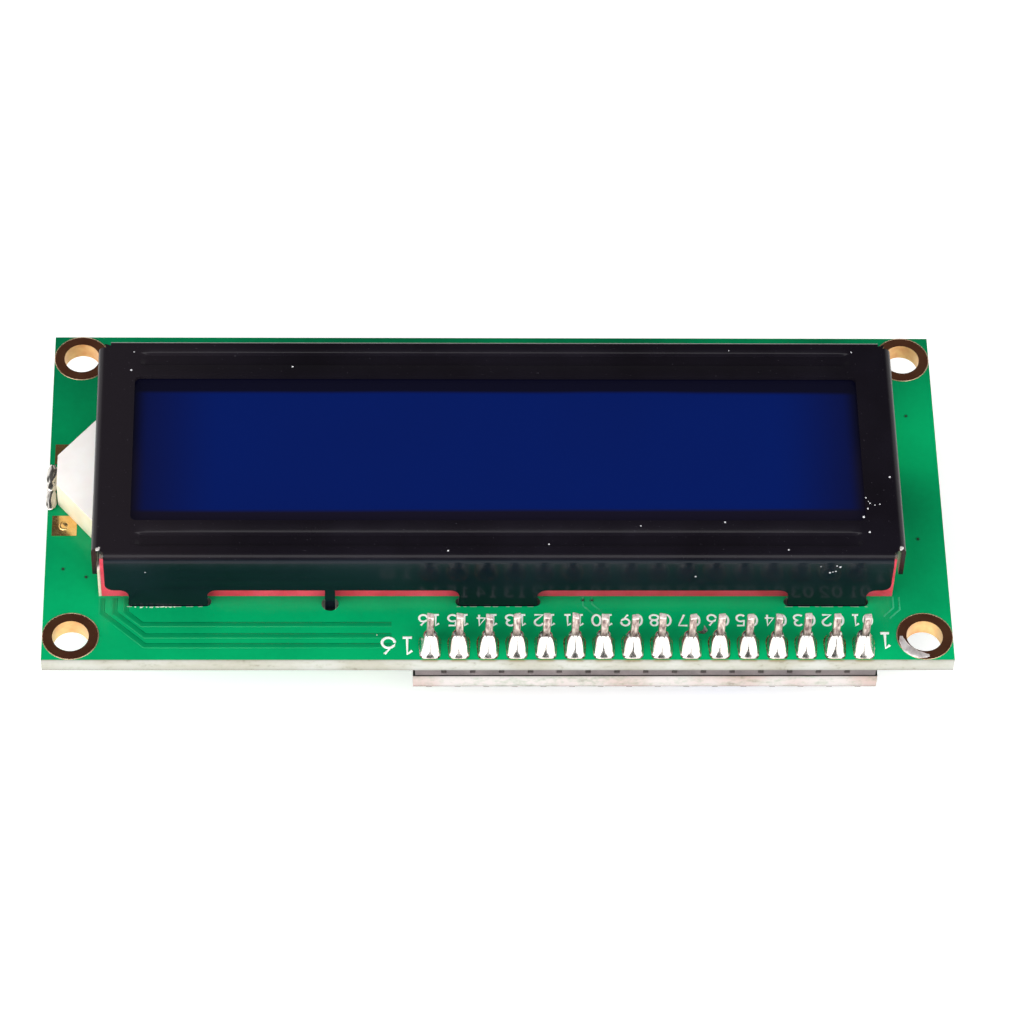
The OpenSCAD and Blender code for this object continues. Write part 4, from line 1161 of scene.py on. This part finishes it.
def vias():
    """Small plated holes under lacquer: a ring with a dark centre, painted shade that stands for
    the drilling.
    """
    places = [(-38.4, -8.21), (-36.34, -9.08), (37.49, 9.02), (37.64, -4.86), (7.5, -11.6),
              (8.3, -11.6), (-36.6, 13.4), (-29.6, 16.4)]
    rims = [arc(x, y, 0.17, 0.17, 0, 360, 14) for x, y in places]
    drawn_lines("via_rims", rims, 0.11, 0.012, BOARD_TOP, gap_lacquer)
    # The dark cores are painted shade in place of the drillings
    cores = [arc(x, y, 0.05, 0.05, 0, 360, 10) for x, y in places]
    drawn_lines("via_holes", cores, 0.14, 0.02, BOARD_TOP, painted_hole_shade)


def slot_rims():
    """Broken lines and flakes of bare laminate where the lacquer ends at each slot."""
    rng = random.Random(8)
    front, behind = [], []
    wall_y = bezel_high.y
    for s in (-1, 1):
        edge_y = s * (wall_y + 0.09)
        for x in TAB_X:
            at = x - TAB[0] / 2 - 0.2
            while at < x + TAB[0] / 2 + 0.1:
                end = min(at + rng.uniform(0.25, 1.1), x + TAB[0] / 2 + 0.2)
                front.append([(at, edge_y), (end, edge_y)])
                at = end + rng.uniform(0.15, 0.7)
            reach = TAB[0] / 2 + 0.3
            behind.append(rectangle(x - reach, s * (wall_y - 1.0), x + reach, edge_y))
    drawn_lines("slot_rims", front, 0.07, 0.015, BOARD_TOP, rim_laminate)
    drawn_lines("slot_rims_behind", behind, 0.08, 0.012, BOARD_BACK, rim_laminate)
    flakes = []
    for i in range(9):
        x = TAB_X[0] - 2.9 + 0.42 * i + rng.uniform(-0.1, 0.1)
        y = -wall_y - 0.12 - rng.uniform(0.0, 0.08)
        flakes.append([(x, y), (x + rng.uniform(0.1, 0.35), y + rng.uniform(-0.05, 0.05))])
    drawn_lines("slot_flakes", flakes, 0.11, 0.03, BOARD_TOP, bare_laminate)


def ring_rims():
    """Pale gold lip where the lacquer ends round each hole's ring, its pale colour partly a painted
    highlight.
    """
    lip = 2.46
    runs = [arc(sx * HOLE_X, sy * HOLE_Y, lip, lip, 0, 360, 48) for sx in (-1, 1)
            for sy in (-1, 1)]
    drawn_lines("hole_ring_lips", runs, 0.09, 0.03, BOARD_TOP + 0.03, lip_gold_and_highlight)


def lamp_pad_dimples():
    """Solder-filled drillings in the two lamp pads."""
    low, high = box_mm("backlight_pads")
    x = (low.x + high.x) / 2
    half = (high.x - low.x) / 2
    tall, hollow = 0.16, 0.36
    bm = bmesh.new()
    for y in (low.y + half, high.y - half):
        ball = bmesh.ops.create_uvsphere(bm, u_segments=24, v_segments=12, radius=1.0)["verts"]
        bmesh.ops.scale(bm, vec=(0.52, 0.52, tall), verts=ball)
        for vert in [v for v in ball if v.co.z > 0]:
            vert.co.z -= tall * max(0.0, 1 - vert.co.xy.length / hollow)
        move(bm, ball, x, y, BOARD_TOP + 0.02)
    return new_piece("lamp_pad_dimples", bm, bright_gold, smooth=80.0)


print_front()
print_behind()
copper_under_lacquer()
tracks_behind()
vias()
slot_rims()
ring_rims()
lamp_pad_dimples()


# ---------------------------------------------------------------- dust, smear and stray solder

GRAIN_FLAT = 0.35


def grains(name, places, size, finish, seed):
    """Irregular grains, flattened against the level or upright surface they rest on."""
    rng = random.Random(seed)
    bm = bmesh.new()
    for x, y, z, upright in places:
        radius = size * rng.uniform(0.6, 1.5)
        ball = bmesh.ops.create_icosphere(bm, subdivisions=2, radius=radius)["verts"]
        for vert in ball:
            vert.co *= rng.uniform(0.75, 1.25)
            vert.co.x *= rng.uniform(0.95, 1.05)
        flatten = (1, GRAIN_FLAT, 1) if upright else (1, 1, GRAIN_FLAT)
        bmesh.ops.scale(bm, vec=flatten, verts=ball)
        move(bm, ball, x, y, z)
    return new_piece(name, bm, finish, smooth=60.0)


# Grains on the bezel's face, along its length and depth, and on its front wall, with heights; the
# face grains at the channels' ends are painted glints, the rest dust
FACE_DUST_AND_GLINTS = ((-32.4, 10.73), (32.0, 10.87), (32.47, -9.25), (32.4, -9.3), (32.05, 10.8),
             (32.35, -5.5), (32.67, -6.1), (33.1, -6.3), (33.54, -6.2), (32.45, -6.7),
             (32.04, -7.6), (32.55, -5.9), (19.81, -8.2), (-32.61, 8.68), (25.25, -11.2),
             (4.31, -10.6), (-4.5, -11.3), (34.6, -3.2), (12.4, -8.6), (-18.2, 9.1), (21.0, 11.0))
WALL_DUST = ((28.1, 5.9), (29.5, 6.0), (29.8, 5.85), (29.2, 5.1), (29.45, 5.2), (28.95, 5.0),
             (-30.9, 5.0), (17.2, 4.4))


def make_dust_and_glints():
    """Light dust on the bezel's face and front wall, with white grains at the channels' ends that
    are painted glints.
    """
    places = [(x, y, bezel_high.z, False) for x, y in FACE_DUST_AND_GLINTS]
    places += [(x, bezel_low.y, z, True) for x, z in WALL_DUST]
    # These grains hold dust and painted glints
    return grains("dust", places, 0.065, dust_and_glint_fluff, 7)


def make_raw_corner_metal_and_glints():
    """Bare metal at the bezel's two front corners, where the sheet was sheared, in pale grains that
    are partly painted glints.
    """
    rng = random.Random(4)
    places = []
    for x, y in ((-34.98, -11.12), (35.1, -11.0)):
        for _ in range(7):
            places.append((x + rng.uniform(-0.12, 0.12), y + rng.uniform(-0.16, 0.16),
                           bezel_high.z + rng.uniform(-0.02, 0.02), False))
    # Pale grains of bare metal that also stand as painted glints
    return grains("raw_corner_metal_and_glints", places, 0.09, rough_tin, 9)


SMEAR_RADIUS = 2.06  # from the hole's middle to the smear's
SMEAR_HALF = 0.43
SMEAR_TALL = 0.22    # share of its half width
SMEAR_START, SMEAR_SPAN = math.radians(180), math.radians(98)


def make_smear():
    """Solder that ran onto the ring of the front right mounting hole."""
    bm = bmesh.new()
    x, y, z = HOLE_X, -HOLE_Y, BOARD_TOP + PAD_T
    verts = bmesh.ops.create_circle(bm, segments=12, radius=SMEAR_HALF, cap_ends=False)["verts"]
    bmesh.ops.rotate(bm, verts=verts, cent=(0, 0, 0), matrix=Matrix.Rotation(math.pi / 2, 3, "X"))
    bmesh.ops.scale(bm, vec=(1, 1, SMEAR_TALL), verts=verts)
    move(bm, verts, x + SMEAR_RADIUS, y, z)
    edges = edges_of(verts)
    bmesh.ops.rotate(bm, verts=verts, cent=(x, y, 0),
                     matrix=Matrix.Rotation(SMEAR_START, 3, "Z"))
    bmesh.ops.spin(bm, geom=edges, cent=(x, y, 0), axis=(0, 0, 1), angle=SMEAR_SPAN,
                   steps=22, use_duplicate=False)
    bmesh.ops.holes_fill(bm, edges=[e for e in bm.edges if e.is_boundary], sides=0)
    for vert in bm.verts:
        arm = Vector((vert.co.x - x, vert.co.y - y, 0))
        turn = (math.atan2(arm.y, arm.x) % (2 * math.pi) - SMEAR_START) / SMEAR_SPAN
        taper = max(0.0, math.sin(math.pi * min(max(turn, 0.03), 0.97))) ** 0.5
        centre = arm.normalized() * SMEAR_RADIUS
        wobble = 1 + 0.25 * noise_at(vert.co * 2.2)
        vert.co.x = x + centre.x + (arm.x - centre.x) * taper * wobble
        vert.co.y = y + centre.y + (arm.y - centre.y) * taper * wobble
        vert.co.z = z + (vert.co.z - z) * taper
        vert.co.y = max(vert.co.y, FRONT_EDGE + 0.02)
    return new_piece("solder_smear", bm, rough_tin, smooth=80.0)


def make_sliver():
    """A curled sliver of tin that lies between two pins."""
    half_long, half_wide = 0.42, 0.12
    bm = bmesh.new()
    strip = bmesh.ops.create_grid(bm, x_segments=8, y_segments=2, size=1.0)["verts"]
    bmesh.ops.scale(bm, vec=(half_long, half_wide, 1.0), verts=strip)
    for vert in strip:
        bend = vert.co.x / half_long
        vert.co.z = 0.06 + 0.16 * bend * bend
        vert.co.y = vert.co.y * (1.4 + bend) + 0.22 * bend * bend
    bmesh.ops.solidify(bm, geom=bm.faces[:], thickness=0.04)
    bmesh.ops.rotate(bm, verts=bm.verts, cent=(0, 0, 0), matrix=Matrix.Rotation(0.5, 3, "Z"))
    move(bm, bm.verts[:], 17.98, -15.1, BOARD_TOP + 0.03)
    return new_piece("stray_sliver", bm, dull_tin, smooth=60.0)


make_dust_and_glints()
make_raw_corner_metal_and_glints()
make_smear()
make_sliver()


# ---------------------------------------------------------------- CAD nodes that stay

for name, finish in {
    "lcd_board": green_mask, "mounting_hole_plating": hole_gold,
    "backlight_pads": bright_gold, "front_polarizer": film, "rear_polarizer": film,
    "front_glass": glass, "rear_glass": glass, "diffuser_film": white_plastic,
    "light_guide": clear_acrylic, "backlight_lamp": lamp_resin, "backpack_board": black_mask,
    "backpack_header_pads": gold, "backpack_solder_joints": tin,
    "address_pads": dull_tin, "controller_blob": glob_resin, "driver_blob": glob_resin,
}.items():
    finish_node(name, finish)

RIDERS = {"trimmer_rotor": "rotor", "jumper_cap": "jumper", "jumper_clip": "jumper"}
for name, finish, ease in (
        ("front_connector_strip", pink_rubber, 0.05), ("rear_connector_strip", pink_rubber, 0.05),
        ("backlight_frame", housing_white, 0.08), ("lcd_chip_resistors", resistor_glaze, 0.05),
        ("expander_chip", chip_resin, 0.05), ("expander_leads", dull_tin, 0.02),
        ("trimmer_body", trimmer_blue, 0.1), ("trimmer_rotor", rotor_white, 0.06),
        ("trimmer_pins", dull_tin, 0.05), ("bus_header_housing", black_plastic, 0.08),
        ("bus_header_pins", pin_gold, 0.05), ("jumper_header_housing", black_plastic, 0.08),
        ("jumper_header_pins", pin_gold, 0.05), ("jumper_cap", black_plastic, 0.08),
        ("jumper_clip", pin_gold, 0.02), ("power_led", led_resin, 0.04),
        ("chip_resistors", resistor_glaze, 0.05), ("chip_capacitors", capacitor, 0.06),
        ("transistor_body", chip_resin, 0.06), ("transistor_leads", dull_tin, 0.03)):
    softened(name, finish, ease, RIDERS.get(name, "module"))


# ---------------------------------------------------------------- stage, lights and camera

FLOOR_GLOW = 0.36    # what the floor adds to its own light for the camera and in reflections
FLOOR_DROP = 0.0004  # metres between the part's lowest point and the floor
FLOOR_HALF = 3.0


def make_floor():
    """A wide pale floor that stays white to the eye and keeps the part's shadow."""
    bm = bmesh.new()
    bmesh.ops.create_grid(bm, x_segments=1, y_segments=1, size=FLOOR_HALF)
    bmesh.ops.translate(bm, vec=(0, 0, cad_box[0][2] - FLOOR_DROP), verts=bm.verts)
    mesh = bpy.data.meshes.new("floor")
    bm.to_mesh(mesh)
    bm.free()
    floor = bpy.data.objects.new("floor", mesh)
    bpy.context.scene.collection.objects.link(floor)
    mat, tree, shader, coords = new_material("pale_floor")
    mottle = noise(tree, coords, 0.01, 2.0, 0.5)
    link(tree, ramp(tree, mottle, [(0.3, grey(0.90)), (0.7, grey(0.92))]),
         shader.inputs["Base Color"])
    set_shader(shader, Roughness=0.9, Specular_IOR_Level=0.0)
    rays = tree.nodes.new("ShaderNodeLightPath")
    glow = node(tree, "ShaderNodeEmission", in_Color=(1, 1, 1, 1))
    seen = rays.outputs["Is Camera Ray"]
    for ray in ("Is Glossy Ray", "Is Transmission Ray"):
        seen = math_node(tree, "MAXIMUM", seen, rays.outputs[ray])
    link(tree, times(tree, seen, FLOOR_GLOW), glow.inputs["Strength"])
    both = tree.nodes.new("ShaderNodeAddShader")
    link(tree, shader.outputs["BSDF"], both.inputs[0])
    link(tree, glow.outputs["Emission"], both.inputs[1])
    link(tree, both.outputs["Shader"], tree.nodes["Material Output"].inputs["Surface"])
    mesh.materials.append(mat)


def make_world():
    """Two wide bright sides near the horizon, dimmer in front and nearly dark above."""
    world = bpy.data.worlds.new("studio")
    world.use_nodes = True
    bpy.context.scene.world = world
    tree = world.node_tree
    ground = tree.nodes["Background"]
    coords = tree.nodes.new("ShaderNodeTexCoord")
    x, y, z = axes_of(tree, coords.outputs["Generated"])
    sides = times(tree, map_range(tree, math_node(tree, "ABSOLUTE", x), 0.18, 0.5),
                  map_range(tree, z, 0.75, 0.35))
    front = times(tree, map_range(tree, y, 0.2, -0.4), map_range(tree, z, 0.22, 0.06))
    crown = map_range(tree, z, 0.9, 0.99)
    light = plus(tree, times(tree, sides, 1.1), 0.085, times(tree, front, 0.4),
                 times(tree, crown, 0.12))
    link(tree, light, ground.inputs["Strength"])
    ground.inputs["Color"].default_value = (1.0, 0.99, 0.975, 1.0)


def soft_light(name, place, size, power):
    """A rectangular soft light, turned to the part."""
    lamp = bpy.data.lights.new(name, "AREA")
    lamp.shape = "RECTANGLE"
    lamp.size, lamp.size_y = size
    lamp.energy = power
    holder = bpy.data.objects.new(name, lamp)
    bpy.context.scene.collection.objects.link(holder)
    holder.location = place
    holder.rotation_euler = (-Vector(place)).to_track_quat("-Z", "Y").to_euler()


def make_camera():
    """A long lens above the front edge, level with the part but for a slight lean."""
    elevation, yaw, roll = math.radians(53.27), math.radians(-3.01), math.radians(2.46)
    target = Vector((0.817, -1.115, 0.0)) * MM
    distance = 440.77 * MM
    back = Vector((math.sin(yaw) * math.cos(elevation), -math.cos(yaw) * math.cos(elevation),
                   math.sin(elevation)))
    across = Vector((0, 0, 1)).cross(back).normalized()
    upward = back.cross(across)
    right = math.cos(roll) * across + math.sin(roll) * upward
    up = -math.sin(roll) * across + math.cos(roll) * upward
    lens = bpy.data.cameras.new("camera")
    lens.sensor_width = 36.0
    lens.lens = 175.5
    lens.clip_start = 0.01
    camera = bpy.data.objects.new("camera", lens)
    bpy.context.scene.collection.objects.link(camera)
    turn = Matrix((right, up, back)).transposed().to_4x4()
    camera.matrix_world = Matrix.Translation(target + distance * back) @ turn
    bpy.context.scene.camera = camera


make_floor()
make_world()
soft_light("left_softbox", (-0.50, -0.42, 0.28), (0.8, 0.7), 4.9)
soft_light("right_softbox", (0.50, -0.40, 0.28), (0.8, 0.7), 3.4)
soft_light("front_softbox", (0.0, -0.30, 0.72), (0.8, 0.5), 2.6)
make_camera()
bpy.context.scene.view_settings.view_transform = "Standard"
